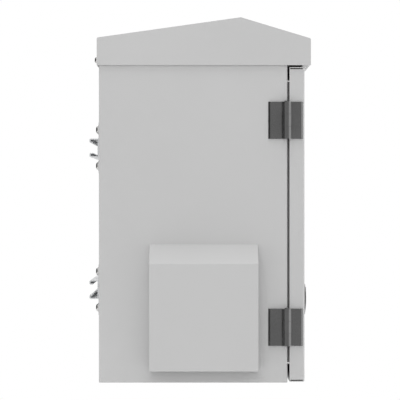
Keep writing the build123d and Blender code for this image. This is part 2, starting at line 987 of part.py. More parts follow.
# Rack rails: folded angles with square holes in the 19-inch pattern, on channel brackets
def rack_rail(side):
    path = [
        (side * rail_opening / 2, -rail_front_back),
        (side * rail_outer, -rail_front_back),
        (side * rail_outer, -rail_front_back + rail_leg),
    ]
    if side > 0:
        path.reverse()
    section = fold(path, rail_sheet, bend)
    rail = Pos(0, 0, level(rail_bottom)) * extrude(section, rail_length)
    holes_a_unit = 3
    holes = []
    for unit in range(rack_units):
        for step in range(holes_a_unit):
            unit_bottom = rail_bottom + rail_end_margin + rack_unit_height * unit
            height = unit_bottom + rack_end_spacing + rack_hole_spacing * step
            hole = Box(rack_hole_width, 2 * overrun, rack_hole_width)
            holes.append(Pos(side * rail_hole_pitch / 2, -rail_front_back, level(height)) * hole)
    rail -= holes
    for bottom in bracket_bottoms():
        for y in rail_screw_ys():
            hole = (side * (rail_outer + overrun), y, level(bottom + bracket_height / 2))
            rail -= rod(hole, (-side, 0, 0), rail_sheet + 2 * overrun, rail_screw_radius + screw_gap)
    return rail


def rail_bracket(side, bottom):
    inner = rail_outer
    path = [
        (inner, level(bottom + bracket_height)),
        (inner, level(bottom)),
        (inner_half, level(bottom)),
        (inner_half, level(bottom + bracket_height)),
    ]
    path.reverse()
    bracket = along_y(fold(path, sheet, bend), -bracket_rear_back, -bracket_front_back)
    middle = level(bottom + bracket_height / 2)
    for y in rail_screw_ys():
        hole = (inner - overrun, y, middle)
        bracket -= rod(hole, (1, 0, 0), sheet + 2 * overrun, rail_screw_radius + screw_gap)
    for y in bracket_rivet_ys():
        hole = (inner_half + overrun, y, middle)
        bracket -= rod(hole, (-1, 0, 0), sheet + 2 * overrun, bracket_rivet_radius + screw_gap)
    return bracket if side > 0 else mirror(bracket, Plane.YZ)


def rail_screws():
    screws = []
    for side in signs():
        for bottom in bracket_bottoms():
            for y in rail_screw_ys():
                seat = (side * (rail_outer - rail_sheet), y, level(bottom + bracket_height / 2))
                screws.append(
                    button_bolt(
                        seat,
                        (-side, 0, 0),
                        rail_screw_head,
                        rail_screw_head_height,
                        rail_screw_radius,
                        rail_sheet + 2 * sheet,
                    )
                )
    return joined(screws)


def bracket_rivets():
    rivets = []
    for side in signs():
        for bottom in bracket_bottoms():
            for y in bracket_rivet_ys():
                seat = (side * (inner_half - sheet), y, level(bottom + bracket_height / 2))
                rivets.append(
                    button_bolt(
                        seat,
                        (-side, 0, 0),
                        bracket_rivet_head,
                        bracket_rivet_head_height,
                        bracket_rivet_radius,
                        sheet,
                    )
                )
    return joined(rivets)


# Cable entry: removable plate over the floor window, with rubber grommets
def grommet_xs():
    middle = (grommets - 1) / 2
    return [grommet_pitch * (index - middle) for index in range(grommets)]


def cable_plate():
    half_x = gland_window_width / 2 + gland_rim
    half_y = gland_window_depth / 2 + gland_rim
    plate = block(
        (-half_x, -gland_back - half_y, level(sheet)),
        (half_x, -gland_back + half_y, level(sheet + gland_plate)),
    )
    for x in grommet_xs():
        hole = (x, -gland_back, level(sheet - overrun))
        plate -= rod(hole, (0, 0, 1), gland_plate + 2 * overrun, grommet_hole_radius)
    for x, y in gland_places():
        hole = (x, y, level(sheet - overrun))
        plate -= rod(hole, (0, 0, 1), gland_plate + 2 * overrun, gland_screw_radius + screw_gap)
    return plate


def cable_grommets():
    outer = grommet_hole_radius + grommet_lip
    low = level(sheet - grommet_lower)
    high = level(sheet + gland_plate + grommet_upper)
    section = outline(
        [
            (grommet_bore_radius, low),
            (outer, low),
            (outer, level(sheet)),
            (grommet_hole_radius, level(sheet)),
            (grommet_hole_radius, level(sheet + gland_plate)),
            (outer, level(sheet + gland_plate)),
            (outer - grommet_lip / 2, high),
            (grommet_bore_radius, high),
        ]
    )
    grommet = revolve(Plane.XZ * section, Axis.Z)
    return joined([Pos(x, -gland_back, 0) * grommet for x in grommet_xs()])


def gland_screws():
    screws = []
    for x, y in gland_places():
        seat = (x, y, level(sheet + gland_plate))
        screws.append(
            button_bolt(
                seat,
                (0, 0, 1),
                gland_screw_head,
                gland_screw_head_height,
                gland_screw_radius,
                gland_plate + sheet,
            )
        )
    return joined(screws)


def earth_stud():
    seat = (-half_width + earth_inset, -earth_back, level(sheet))
    return rod(seat, (0, 0, 1), earth_stud_length, earth_stud_radius)


def earth_nut_set():
    bore = earth_stud_radius + screw_gap
    x = -half_width + earth_inset
    ring = washer((x, -earth_back, level(sheet)), (0, 0, 1), earth_washer_radius, earth_washer, bore)
    top = (x, -earth_back, level(sheet + earth_washer))
    return joined([ring, nut(top, (0, 0, 1), earth_nut_flats, earth_nut, bore)])


# Hinges: cast leaves outside the case and door, with faceted knuckles on one pin
def knuckle_section():
    side_share = 0.97
    corner = side_share * knuckle_radius
    shoulder = (knuckle_radius ** 2 - corner ** 2) ** 0.5
    points = [
        (-knuckle_flat, -knuckle_face_half),
        (-shoulder, -corner),
        (shoulder, -corner),
        (knuckle_flat, -knuckle_face_half),
        (knuckle_flat, knuckle_face_half),
        (shoulder, corner),
        (-shoulder, corner),
        (-knuckle_flat, knuckle_face_half),
    ]
    return Pos(hinge_axis_x, -hinge_axis_back) * outline(points)


def hinge_leaf_plate(y_near, y_far, bottom):
    """Leaf plate on the side plane, its outer edges bevelled away from the knuckles."""
    y_range = sorted((y_near, y_far))
    plate = block(
        (-half_width - hinge_leaf, y_range[0], level(bottom)),
        (-half_width, y_range[1], level(bottom + hinge_height)),
    )
    outer = plate.faces().sort_by(Axis.X)[0]
    far_edge = outer.edges().filter_by(Axis.Z).sort_by(lambda edge: abs(edge.center().Y - y_far))[0]
    return chamfer(far_edge, hinge_bevel)


def hinge_studs(y, bottom):
    studs = None
    for height in hinge_stud_heights(bottom):
        foot = (-half_width - hinge_leaf / 2, y, level(height))
        stud = rod(foot, (1, 0, 0), hinge_leaf / 2 + hinge_stud_length, hinge_stud_radius)
        studs = stud if studs is None else studs + stud
    return studs


def knuckle(low, high, web_y):
    """One knuckle with its web to the leaf plate."""
    part = extrude(knuckle_section(), high - low)
    y_range = sorted((-hinge_axis_back, web_y))
    part += block(
        (-half_width - hinge_leaf, y_range[0], 0),
        (-half_width - fit_gap, y_range[1], high - low),
    )
    bore = (hinge_axis_x, -hinge_axis_back, -overrun)
    part -= rod(bore, (0, 0, 1), high - low + 2 * overrun, hinge_pin_radius + pin_gap)
    return Pos(0, 0, level(low)) * part


def hinge_body_leaf(bottom):
    near = -hinge_axis_back + knuckle_radius
    leaf = hinge_leaf_plate(near, -body_leaf_back, bottom)
    third = hinge_height / 3
    for low, high in ((bottom, bottom + third), (bottom + 2 * third, bottom + hinge_height)):
        leaf += knuckle(low, high, near)
    return leaf + hinge_studs(body_stud_y, bottom)


def hinge_door_leaf(bottom):
    near = -hinge_axis_back - knuckle_radius
    leaf = hinge_leaf_plate(near, -door_leaf_back, bottom)
    third = hinge_height / 3
    leaf += knuckle(bottom + third + knuckle_gap, bottom + 2 * third - knuckle_gap, near)
    return leaf + hinge_studs(door_stud_y, bottom)


def hinge_pin(bottom):
    foot = (hinge_axis_x, -hinge_axis_back, level(bottom))
    top = (hinge_axis_x, -hinge_axis_back, level(bottom + hinge_height))
    pin = rod(foot, (0, 0, 1), hinge_height, hinge_pin_radius)
    return pin + rod(top, (0, 0, 1), hinge_pin_cap_height, hinge_pin_cap)


def hinge_nuts(y, wall):
    nuts = []
    for bottom in hinge_bottoms:
        for height in hinge_stud_heights(bottom):
            seat = (-half_width + wall, y, level(height))
            nuts.append(nut(seat, (1, 0, 0), hinge_nut_flats, hinge_nut, hinge_stud_radius + screw_gap))
    return joined(nuts)


# Door: folded pan with rounded edges and open corner slits, a foam gasket and the lock
def door_panel():
    pan = block(
        (-half_width, -door_front, level(door_bottom)),
        (half_width, -door_back, level(door_top)),
    )
    front = pan.faces().sort_by(Axis.Y)[0]
    pan = fillet(front.edges(), door_bend)
    cavity = block(
        (-half_width + door_sheet, -door_inner, level(door_bottom + door_sheet)),
        (half_width - door_sheet, -door_back - door_sheet, level(door_top - door_sheet)),
    )
    cavity_front = cavity.faces().sort_by(Axis.Y)[0]
    cavity = fillet(cavity_front.edges(), door_bend - door_sheet)
    rim = door_sheet + door_return
    mouth = block(
        (-half_width + rim, -door_back - door_sheet - overrun, level(door_bottom + rim)),
        (half_width - rim, -door_back + overrun, level(door_top - rim)),
    )
    pan = pan - cavity - mouth
    slit_front = -door_front + door_bend
    for side in signs():
        x_range = sorted((side * (half_width - door_sheet), side * (half_width + overrun)))
        for low in (door_bottom + door_sheet, door_top - door_sheet - door_slit):
            slit = (x_range[0], slit_front, level(low))
            pan -= block(slit, (x_range[1], -door_back + overrun, level(low + door_slit)))
    hole = (lock_x, -door_front - overrun, level(lock_height))
    pan -= rod(hole, (0, 1, 0), door_sheet + 2 * overrun, spindle_radius + fit_gap)
    for bottom in hinge_bottoms:
        for height in hinge_stud_heights(bottom):
            hole = (-half_width - overrun, door_stud_y, level(height))
            pan -= rod(hole, (1, 0, 0), door_sheet + 2 * overrun, hinge_stud_radius + screw_gap)
    return pan


def door_gasket():
    lip_middle = sheet / 2
    half_x = opening_half - lip_middle
    low = bottom_frame + lip_middle
    high = opening_top - lip_middle
    reach = gasket_width / 2
    back = -lip_front - fit_gap
    ring = block(
        (-half_x - reach, -door_inner, level(low - reach)), (half_x + reach, back, level(high + reach))
    )
    return ring - block(
        (-half_x + reach, -door_inner - overrun, level(low + reach)),
        (half_x - reach, back + overrun, level(high - reach)),
    )


def lock_screw_places():
    """X and height of the screws through the gear cover and lock body."""
    half_height = lock_body_height / 2 - 2 * lock_screw_head
    return [(lock_x, lock_height + sign * half_height) for sign in signs()]


def lock_rose():
    seat = (lock_x, -door_front, level(lock_height))
    rose = rod(seat, (0, -1, 0), rose_thickness, rose_radius)
    outer = rose.edges().sort_by(Axis.Y)[0]
    rose = chamfer(outer, rose_chamfer)
    hole = (lock_x, -door_front + overrun, level(lock_height))
    return rose - rod(hole, (0, -1, 0), rose_thickness + 2 * overrun, spindle_radius + pin_gap)


def lock_body():
    half_height = lock_body_height / 2
    body = block(
        (lock_x - lock_body_half, -door_inner, level(lock_height - half_height)),
        (lock_x + lock_body_half, -lock_body_back, level(lock_height + half_height)),
    )
    body = chamfer(body.edges().filter_by(Axis.Y), lock_body_edge)
    hole = (lock_x, -door_inner - overrun, level(lock_height))
    depth = door_inner - lock_body_back + 2 * overrun
    body -= rod(hole, (0, 1, 0), depth, spindle_radius + pin_gap)
    for x, height in lock_screw_places():
        body -= rod((x, hole[1], level(height)), (0, 1, 0), depth, lock_screw_radius + screw_gap)
    return body


def gear_bridge():
    """Bridge plate over the pinion, its legs standing on the lock body behind the rods."""
    half_height = lock_body_height / 2
    leg_inner = rod_outer + fit_gap
    bridge = block(
        (lock_x - lock_body_half, -lock_body_back, level(lock_height - half_height)),
        (lock_x + lock_body_half, -cover_front + gear_cover, level(lock_height + half_height)),
    )
    bridge -= block(
        (lock_x - leg_inner, -lock_body_back - overrun, level(lock_height - half_height - overrun)),
        (lock_x + leg_inner, -cover_front, level(lock_height + half_height + overrun)),
    )
    window_share = 0.42
    window = window_share * lock_body_height / 2
    for sign in signs():
        near = lock_height + sign * spindle_radius
        low, high = sorted((near, near + sign * window))
        bridge -= block(
            (lock_x - gear_pitch_radius, -cover_front - overrun, level(low)),
            (lock_x + gear_pitch_radius, -cover_front + gear_cover + overrun, level(high)),
        )
    back = (lock_x, -lock_body_back, level(lock_height))
    reach = lock_body_back - cover_front + gear_cover + overrun
    bridge -= rod(back, (0, 1, 0), reach, spindle_tail_radius + pin_gap)
    spacer = lock_body_back - cover_front
    for x, height in lock_screw_places():
        bridge += rod((x, -lock_body_back, level(height)), (0, 1, 0), spacer, lock_screw_head)
        hole = (x, -lock_body_back - overrun, level(height))
        bridge -= rod(hole, (0, 1, 0), reach + overrun, lock_screw_radius + screw_gap)
    return bridge


def lock_screws():
    screws = []
    length = door_inner - cover_front + gear_cover
    for x, height in lock_screw_places():
        seat = (x, -cover_front + gear_cover, level(height))
        screws.append(
            button_bolt(
                seat, (0, 1, 0), lock_screw_head, lock_screw_head_height, lock_screw_radius, length
            )
        )
    return joined(screws)


def handle():
    hub_back = -door_front - rose_thickness - handle_hub_gap
    hub_front = -door_front - handle_top
    centre = level(lock_height)
    hub = rod((lock_x, hub_back, centre), (0, -1, 0), hub_back - hub_front, handle_hub_radius)
    lever = outline(
        [
            (lock_x - handle_lever_width / 2, centre),
            (lock_x + handle_lever_width / 2, centre),
            (lock_x + handle_tip_width / 2, centre - handle_lever_end),
            (lock_x - handle_tip_width / 2, centre - handle_lever_end),
        ]
    )
    lever = fillet(lever.vertices().sort_by(Axis.Y)[:2], handle_tip_round)
    grip = along_y(lever, hub_front + handle_lever_thickness, hub_front)
    bow_middle = centre - handle_bow_offset
    bow = (lock_x - handle_hub_radius - overrun, hub_front + handle_bow_radius, bow_middle)
    bow_length = 2 * (handle_hub_radius + overrun)
    bowed = [body & rod(bow, (1, 0, 0), bow_length, handle_bow_radius) for body in (hub, grip)]
    hub, grip = [chamfer(body.faces().sort_by(Axis.Y)[0].edges(), handle_edge) for body in bowed]
    part = hub + grip
    plug_hole = (lock_x, hub_front - overrun, centre)
    part -= rod(plug_hole, (0, 1, 0), plug_depth + overrun, plug_radius + pin_gap)
    socket = (lock_x, hub_back + overrun, centre)
    return part - rod(socket, (0, -1, 0), handle_socket + overrun, spindle_radius + screw_gap)


def key_plug():
    hole_end = -door_front - handle_top + plug_depth
    front = -door_front - handle_top + handle_hub_sag - plug_proud
    centre = level(lock_height)
    plug = rod((lock_x, front, centre), (0, 1, 0), hole_end - fit_gap - front, plug_radius)
    return plug - block(
        (lock_x - keyway_width / 2, front - overrun, centre - keyway_length / 2),
        (lock_x + keyway_width / 2, front + keyway_depth, centre + keyway_length / 2),
    )


def spindle():
    start = -door_front - rose_thickness - handle_hub_gap - handle_socket
    centre = level(lock_height)
    shaft_end = -cover_front - gear_side_gap / 2
    shaft = rod((lock_x, start, centre), (0, 1, 0), shaft_end - start, spindle_radius)
    tail = (lock_x, -cover_front - gear_side_gap, centre)
    return shaft + rod(tail, (0, 1, 0), gear_side_gap + gear_cover, spindle_tail_radius)


def gear_half_angle(radius):
    """Half the angle of an involute tooth at a radius."""
    pressure = radians(gear_pressure)
    base = gear_pitch_radius * cos(pressure)
    thickness = pi * gear_module / 2 - gear_backlash
    at_radius = acos(min(1, base / radius))
    involute = tan(pressure) - pressure - tan(at_radius) + at_radius
    return thickness / (2 * gear_pitch_radius) + involute


def pinion():
    """Toothed wheel on the spindle: a tooth points along +X and along -X at rest."""
    base = gear_pitch_radius * cos(radians(gear_pressure))
    root = gear_pitch_radius - gear_dedendum
    tip = gear_pitch_radius + gear_module
    flank = [(root, gear_half_angle(base))]
    for radius in (base, gear_pitch_radius, (gear_pitch_radius + tip) / 2, tip):
        flank.append((radius, gear_half_angle(radius)))
    points = []
    for tooth in range(gear_teeth):
        middle = 2 * pi * tooth / gear_teeth
        for radius, half in flank:
            points.append((radius * cos(middle - half), radius * sin(middle - half)))
        for radius, half in reversed(flank):
            points.append((radius * cos(middle + half), radius * sin(middle + half)))
    face = outline(points) - Circle(spindle_radius + screw_gap)
    return along_y(Pos(lock_x, level(lock_height)) * face, -rod_back, -rod_front)


def rack_outline(low_teeth, high_teeth, far_end):
    """Outline of a rod with teeth towards +X on the line X = 0; the gap at height 0 faces the wheel."""
    pitch = pi * gear_module
    slope = tan(radians(gear_pressure))
    half = (pitch / 2 - gear_backlash) / 2
    tip_half = half - gear_module * slope
    root_half = half + gear_dedendum * slope
    outer = -gear_dedendum - rod_width
    teeth = []
    for index in range(-low_teeth, high_teeth):
        middle = pitch * (index + 0.5)
        teeth.append((-gear_dedendum, middle - root_half))
        teeth.append((gear_module, middle - tip_half))
        teeth.append((gear_module, middle + tip_half))
        teeth.append((-gear_dedendum, middle + root_half))
    bottom = -low_teeth * pitch - rack_tail
    far = [(-gear_dedendum, far_end), (outer, far_end)]
    return [(outer, bottom), (-gear_dedendum, bottom)] + teeth + far


def rod_section(side, length):
    """Section of a latch rod whose teeth face the pinion from one side."""
    short_teeth = 2
    points = rack_outline(rack_teeth - short_teeth, short_teeth, length)
    placed = []
    for x, z in points:
        placed.append((lock_x + side * (gear_pitch_radius - x), level(lock_height) - side * z))
    return outline(placed)


def rod_upper():
    return along_y(rod_section(-1, rod_top - lock_height), -rod_back, -rod_front)


def rod_lower():
    return along_y(rod_section(1, lock_height - rod_bottom), -rod_back, -rod_front)


def rod_guides():
    guides = []
    ends = ((-1, rod_top - guide_inset - guide_block), (1, rod_bottom + guide_inset))
    for side, bottom in ends:
        middle = lock_x + side * (rod_outer - rod_width / 2)
        half_slot = rod_width / 2 + fit_gap
        half = half_slot + guide_wall
        guide = block(
            (middle - half, -door_inner, level(bottom)),
            (middle + half, -rod_back + fit_gap + guide_wall, level(bottom + guide_block)),
        )
        guide -= block(
            (middle - half_slot, -rod_front - fit_gap, level(bottom - overrun)),
            (middle + half_slot, -rod_back + fit_gap, level(bottom + guide_block + overrun)),
        )
        guides.append(guide)
    return joined(guides)


os.makedirs("parts", exist_ok=True)
save(case_wrap(), "case_wrap")
save(case_top(), "case_top")
save(case_bottom(), "case_bottom")
save(roof_cap(), "roof_cap")
save(roof_stays(), "roof_stays")
save(roof_bolts(), "roof_bolts")
save(roof_washers(), "roof_washers")
save(roof_nuts(), "roof_nuts")
save(strut(strut_heights[0]), "strut_lower")
save(strut(strut_heights[1]), "strut_upper")
save(strut_plates(), "strut_plates")
save(strut_bolts(), "strut_bolts")
save(strut_washers(), "strut_washers")
save(strut_nuts(), "strut_nuts")
save(hood(-1), "hood_left")
save(hood(1), "hood_right")
save(hood_screws(), "hood_screws")
save(filter_grille(), "filter_grille")
save(filter_mat(), "filter_mat")
save(filter_screws(), "filter_screws")
save(fan_frame(), "fan_frame")
save(fan_rotor(), "fan_rotor")
save(fan_guard(), "fan_guard")
save(fan_screws(), "fan_screws")
for side_name, side in zip(("left", "right"), signs()):
    save(rack_rail(side), "rack_rail_" + side_name)
    for level_name, bottom in zip(("lower", "upper"), bracket_bottoms()):
        save(rail_bracket(side, bottom), "rail_bracket_" + level_name + "_" + side_name)
save(rail_screws(), "rail_screws")
save(bracket_rivets(), "bracket_rivets")
save(cable_plate(), "cable_plate")
save(cable_grommets(), "cable_grommets")
save(gland_screws(), "cable_plate_screws")
save(earth_stud(), "earth_stud")
save(earth_nut_set(), "earth_nut")
for level_name, bottom in zip(("lower", "upper"), hinge_bottoms):
    save(hinge_body_leaf(bottom), "hinge_body_leaf_" + level_name)
    save(hinge_door_leaf(bottom), "hinge_door_leaf_" + level_name)
    save(hinge_pin(bottom), "hinge_pin_" + level_name)
save(hinge_nuts(body_stud_y, sheet), "hinge_body_nuts")
save(hinge_nuts(door_stud_y, door_sheet), "hinge_door_nuts")
save(door_panel(), "door_panel")
save(door_gasket(), "door_gasket")
save(lock_rose(), "lock_rose")
save(lock_body(), "lock_body")
save(gear_bridge(), "gear_bridge")
save(lock_screws(), "lock_screws")
save(rod_guides(), "rod_guides")
save(handle(), "handle")
save(key_plug(), "key_plug")
save(spindle(), "spindle")
save(pinion(), "pinion")
save(rod_upper(), "rod_upper")
save(rod_lower(), "rod_lower")
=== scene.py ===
import math

import bmesh
import bpy
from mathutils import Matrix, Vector, noise as chance


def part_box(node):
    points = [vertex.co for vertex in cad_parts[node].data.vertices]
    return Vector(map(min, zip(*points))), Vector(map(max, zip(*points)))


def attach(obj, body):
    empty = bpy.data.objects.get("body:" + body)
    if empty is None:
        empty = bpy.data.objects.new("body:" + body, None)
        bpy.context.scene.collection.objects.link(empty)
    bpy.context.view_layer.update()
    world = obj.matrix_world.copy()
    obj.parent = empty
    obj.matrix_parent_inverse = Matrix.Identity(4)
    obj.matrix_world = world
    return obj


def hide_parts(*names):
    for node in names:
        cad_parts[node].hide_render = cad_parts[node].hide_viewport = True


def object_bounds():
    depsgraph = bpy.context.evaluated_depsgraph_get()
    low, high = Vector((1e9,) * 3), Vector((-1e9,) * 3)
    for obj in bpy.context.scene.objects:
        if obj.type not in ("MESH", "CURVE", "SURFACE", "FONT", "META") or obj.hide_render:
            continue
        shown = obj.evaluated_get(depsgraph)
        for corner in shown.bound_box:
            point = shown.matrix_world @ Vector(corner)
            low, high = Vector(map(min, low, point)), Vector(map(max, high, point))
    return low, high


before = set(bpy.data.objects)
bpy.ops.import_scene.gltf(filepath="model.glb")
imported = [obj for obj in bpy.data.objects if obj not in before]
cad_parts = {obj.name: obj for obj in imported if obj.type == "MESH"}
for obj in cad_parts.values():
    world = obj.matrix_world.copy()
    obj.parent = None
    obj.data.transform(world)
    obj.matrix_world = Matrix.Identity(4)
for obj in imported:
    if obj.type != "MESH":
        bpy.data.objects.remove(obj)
cad_low, cad_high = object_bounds()

# Case: one steel sheet folded round the back and both sides, with a top and a floor sheet welded in.
# Cleaned, primed and powder-coated light grey, so the surface has a fine orange peel and soft edges.
# Every coat's colour is painted a touch paler near rounded edges, as a painted edge highlight.
paint_grey = 0.533
pattern_low = 0.3
pattern_high = 0.7
cloud_detail = 4
grain_detail = 2
edge_samples = 6
# Painted edge highlight: where the rounded normal starts and stops turning from the face, and how much paler
# it paints the tone.
painted_glint_from = 0.99
painted_glint_to = 0.85
painted_glint_share = 0.3


def add(tree, kind, settings, inputs):
    """One node of a shader or shape tree; an input is a value or another node's output."""
    made = tree.nodes.new(kind)
    for key, value in settings.items():
        setattr(made, key, value)
    for key, value in inputs.items():
        if isinstance(value, bpy.types.NodeSocket):
            tree.links.new(value, made.inputs[key])
        else:
            made.inputs[key].default_value = value
    return made


def maths(tree, operation, first, second):
    """Sum, product or the like of two values or sockets."""
    return add(tree, "ShaderNodeMath", {"operation": operation}, {0: first, 1: second}).outputs[0]


def shader_of(material):
    """A finish's main shader node."""
    return material.node_tree.nodes["Principled BSDF"]


def start_finish(name):
    """A new finish with its tree, its shader and the place of each point on the piece."""
    material = bpy.data.materials.new(name)
    material.use_nodes = True
    tree = material.node_tree
    place = add(tree, "ShaderNodeTexCoord", {}, {}).outputs["Object"]
    return material, tree, shader_of(material), place


def noise(tree, place, per_metre, detail):
    """Cloudy pattern from 0 to 1."""
    inputs = {"Vector": place, "Scale": per_metre, "Detail": detail}
    return add(tree, "ShaderNodeTexNoise", {}, inputs).outputs["Fac"]


def spread(tree, factor, low, high):
    """A pattern's middle range stretched between two values."""
    inputs = {
        "Value": factor,
        "From Min": pattern_low,
        "From Max": pattern_high,
        "To Min": low,
        "To Max": high,
    }
    return add(tree, "ShaderNodeMapRange", {}, inputs).outputs["Result"]


def tone(tree, factor, dark, light):
    """A pattern's middle range as a blend of two colours."""
    ramp = add(tree, "ShaderNodeValToRGB", {}, {"Fac": factor})
    first, last = ramp.color_ramp.elements
    first.position = pattern_low
    first.color = (*dark, 1)
    last.position = pattern_high
    last.color = (*light, 1)
    return ramp.outputs["Color"]


def relief(tree, shader, height, depth, edge):
    """Fine surface relief over slightly rounded edges; returns how near a point is to an edge, the mask of
    the painted edge highlight.
    """
    flat = add(tree, "ShaderNodeNewGeometry", {}, {}).outputs["Normal"]
    rounded = flat
    if edge > 0:
        bevel = add(tree, "ShaderNodeBevel", {"samples": edge_samples}, {"Radius": edge})
        rounded = bevel.outputs["Normal"]
    inputs = {"Height": height, "Strength": 1.0, "Distance": depth, "Normal": rounded}
    bump = add(tree, "ShaderNodeBump", {}, inputs)
    tree.links.new(bump.outputs["Normal"], shader.inputs["Normal"])
    likeness = add(tree, "ShaderNodeVectorMath", {"operation": "DOT_PRODUCT"}, {0: rounded, 1: flat})
    inputs = {"Value": likeness.outputs["Value"], "From Min": painted_glint_from, "From Max": painted_glint_to}
    return add(tree, "ShaderNodeMapRange", {}, inputs).outputs["Result"]


def coat(name, colour, rough, cloud_share, cloud_per_metre, grain_per_metre, grain_depth, edge):
    """Coated, cast or moulded surface: a soft cloud of tone, a fine grain and a painted highlight at slightly
    rounded edges.
    """
    material, tree, shader, place = start_finish(name)
    cloud = noise(tree, place, cloud_per_metre, cloud_detail)
    grain = noise(tree, place, grain_per_metre, grain_detail)
    painted_glint_mask = relief(tree, shader, grain, grain_depth, edge)
    # Painted edge highlight: the tone is pushed paler near rounded edges.
    cloud_and_glint = maths(tree, "ADD", cloud, maths(tree, "MULTIPLY", painted_glint_mask, painted_glint_share))
    dark = [part * (1 - cloud_share) for part in colour]
    light = [part * (1 + cloud_share) for part in colour]
    tree.links.new(tone(tree, cloud_and_glint, dark, light), shader.inputs["Base Color"])
    tree.links.new(spread(tree, grain, *rough), shader.inputs["Roughness"])
    return material


def dress(material, *names):
    """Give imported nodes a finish."""
    for name in names:
        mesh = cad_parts[name].data
        mesh.materials.clear()
        mesh.materials.append(material)


paint = coat(
    "grey_powder_coat",
    colour=(paint_grey, paint_grey, paint_grey),
    rough=(0.42, 0.52),
    cloud_share=0.02,
    cloud_per_metre=3.0,
    grain_per_metre=900.0,
    grain_depth=0.00004,
    edge=0.0008,
)
dress(paint, "case_wrap", "case_top", "case_bottom")

# Roof: a sheet folded over the ridge with gable plates welded in, coated as the case is.
# It stands on two bent, hot-dip galvanised stays and is held at the back by two bolts through spacers.
spangle_per_metre = 150.0
spangle_dark = (0.56, 0.57, 0.58)
spangle_light = (0.66, 0.67, 0.68)
spangle_rough = (0.24, 0.38)
spangle_depth = 0.00006
spangle_edge = 0.0006
bath_cloud_per_metre = 14.0
bath_cloud_detail = 5


def halves(tree, first, second):
    """Two patterns mixed in equal shares."""
    return maths(tree, "ADD", maths(tree, "MULTIPLY", first, 0.5), maths(tree, "MULTIPLY", second, 0.5))


def galvanised_finish():
    """Zinc bath finish: flat crystals of slightly different grey."""
    material, tree, shader, place = start_finish("galvanised_steel")
    inputs = {"Vector": place, "Scale": spangle_per_metre}
    crystal = add(tree, "ShaderNodeTexVoronoi", {}, inputs).outputs["Color"]
    grey = add(tree, "ShaderNodeSeparateColor", {}, {"Color": crystal}).outputs[0]
    mixed = halves(tree, grey, noise(tree, place, bath_cloud_per_metre, bath_cloud_detail))
    tree.links.new(tone(tree, mixed, spangle_dark, spangle_light), shader.inputs["Base Color"])
    tree.links.new(spread(tree, mixed, *spangle_rough), shader.inputs["Roughness"])
    relief(tree, shader, mixed, spangle_depth, spangle_edge)
    return material


galvanised = galvanised_finish()
dress(paint, "roof_cap")
dress(galvanised, "roof_stays")

# Roof bolts: stainless button-head bolts with a hexagon socket, at the rear skirt.
# Each has a plain washer outside, a spacer between the sheets and a chamfered nut inside the case.
roof_bolt_sizes = {"Head height": 0.004, "Shank radius": 0.004, "Socket radius": 0.0029}
socket_depth_share = 0.6
shank_chamfer_share = 0.2
button_shares = (
    (1.0, 0.0), (1.0, 0.16), (0.97, 0.38), (0.88, 0.64), (0.74, 0.84), (0.58, 0.96), (0.54, 1.0)
)
hexagon_sides = 6
turned_sides = 28
nut_end_share = 0.88
nut_middle_share = 1.02
nut_rim_share = 0.14
nut_turn = math.pi / 6
turn_seed = 7
width_axis = 0
depth_axis = 1
height_axis = 2
merge_distance = 1e-6
sort_digits = 4
sharp_angle = math.radians(38)
sheen_share = 0.06
sheen_per_metre = 40.0


def islands(name):
    """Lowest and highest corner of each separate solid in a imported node."""
    shape = bmesh.new()
    shape.from_mesh(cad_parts[name].data)
    bmesh.ops.remove_doubles(shape, verts=shape.verts, dist=merge_distance)
    waiting = set(shape.verts)
    boxes = []
    while waiting:
        reach = [waiting.pop()]
        low = reach[0].co.copy()
        high = reach[0].co.copy()
        while reach:
            point = reach.pop()
            low = Vector(map(min, low, point.co))
            high = Vector(map(max, high, point.co))
            for edge in point.link_edges:
                other = edge.other_vert(point)
                if other in waiting:
                    waiting.remove(other)
                    reach.append(other)
        boxes.append((low, high))
    shape.free()
    return sorted(boxes, key=lambda box: tuple(round(part, sort_digits) for part in box[0]))


def new_shape(name, sizes):
    """Empty shape tree with named sizes; returns the tree and its input sockets."""
    tree = bpy.data.node_groups.new(name, "GeometryNodeTree")
    tree.interface.new_socket("Places", in_out="INPUT", socket_type="NodeSocketGeometry")
    for size in sizes:
        tree.interface.new_socket(size, in_out="INPUT", socket_type="NodeSocketFloat")
    tree.interface.new_socket("Finish", in_out="INPUT", socket_type="NodeSocketMaterial")
    tree.interface.new_socket("Shape", in_out="OUTPUT", socket_type="NodeSocketGeometry")
    return tree, tree.nodes.new("NodeGroupInput").outputs


def lifted(tree, shape, height):
    """A shape moved up its own axis."""
    up = add(tree, "ShaderNodeCombineXYZ", {}, {"Z": height}).outputs[0]
    return add(tree, "GeometryNodeTransform", {}, {"Geometry": shape, "Translation": up}).outputs[0]


def joined(tree, parts):
    """Shapes as one, with their shared points merged."""
    together = add(tree, "GeometryNodeJoinGeometry", {}, {})
    for part in reversed(parts):
        tree.links.new(part, together.inputs[0])
    inputs = {"Geometry": together.outputs[0], "Distance": merge_distance}
    return add(tree, "GeometryNodeMergeByDistance", {}, inputs).outputs[0]


def turned(tree, outline, sides):
    """Closed turned body along +Z through radius and height pairs."""
    parts = []
    for (radius, height), (next_radius, next_height) in zip(outline, outline[1:]):
        inputs = {
            "Vertices": sides,
            "Radius Bottom": radius,
            "Radius Top": next_radius,
            "Depth": maths(tree, "SUBTRACT", next_height, height),
        }
        ring = add(tree, "GeometryNodeMeshCone", {"fill_type": "NONE"}, inputs).outputs["Mesh"]
        parts.append(lifted(tree, ring, height))
    for end, (radius, height) in enumerate((outline[0], outline[-1])):
        inputs = {"Vertices": sides, "Radius": radius}
        disc = add(tree, "GeometryNodeMeshCircle", {"fill_type": "NGON"}, inputs).outputs[0]
        if end == 0:
            disc = add(tree, "GeometryNodeFlipFaces", {}, {"Mesh": disc}).outputs[0]
        parts.append(lifted(tree, disc, height))
    return joined(tree, parts)


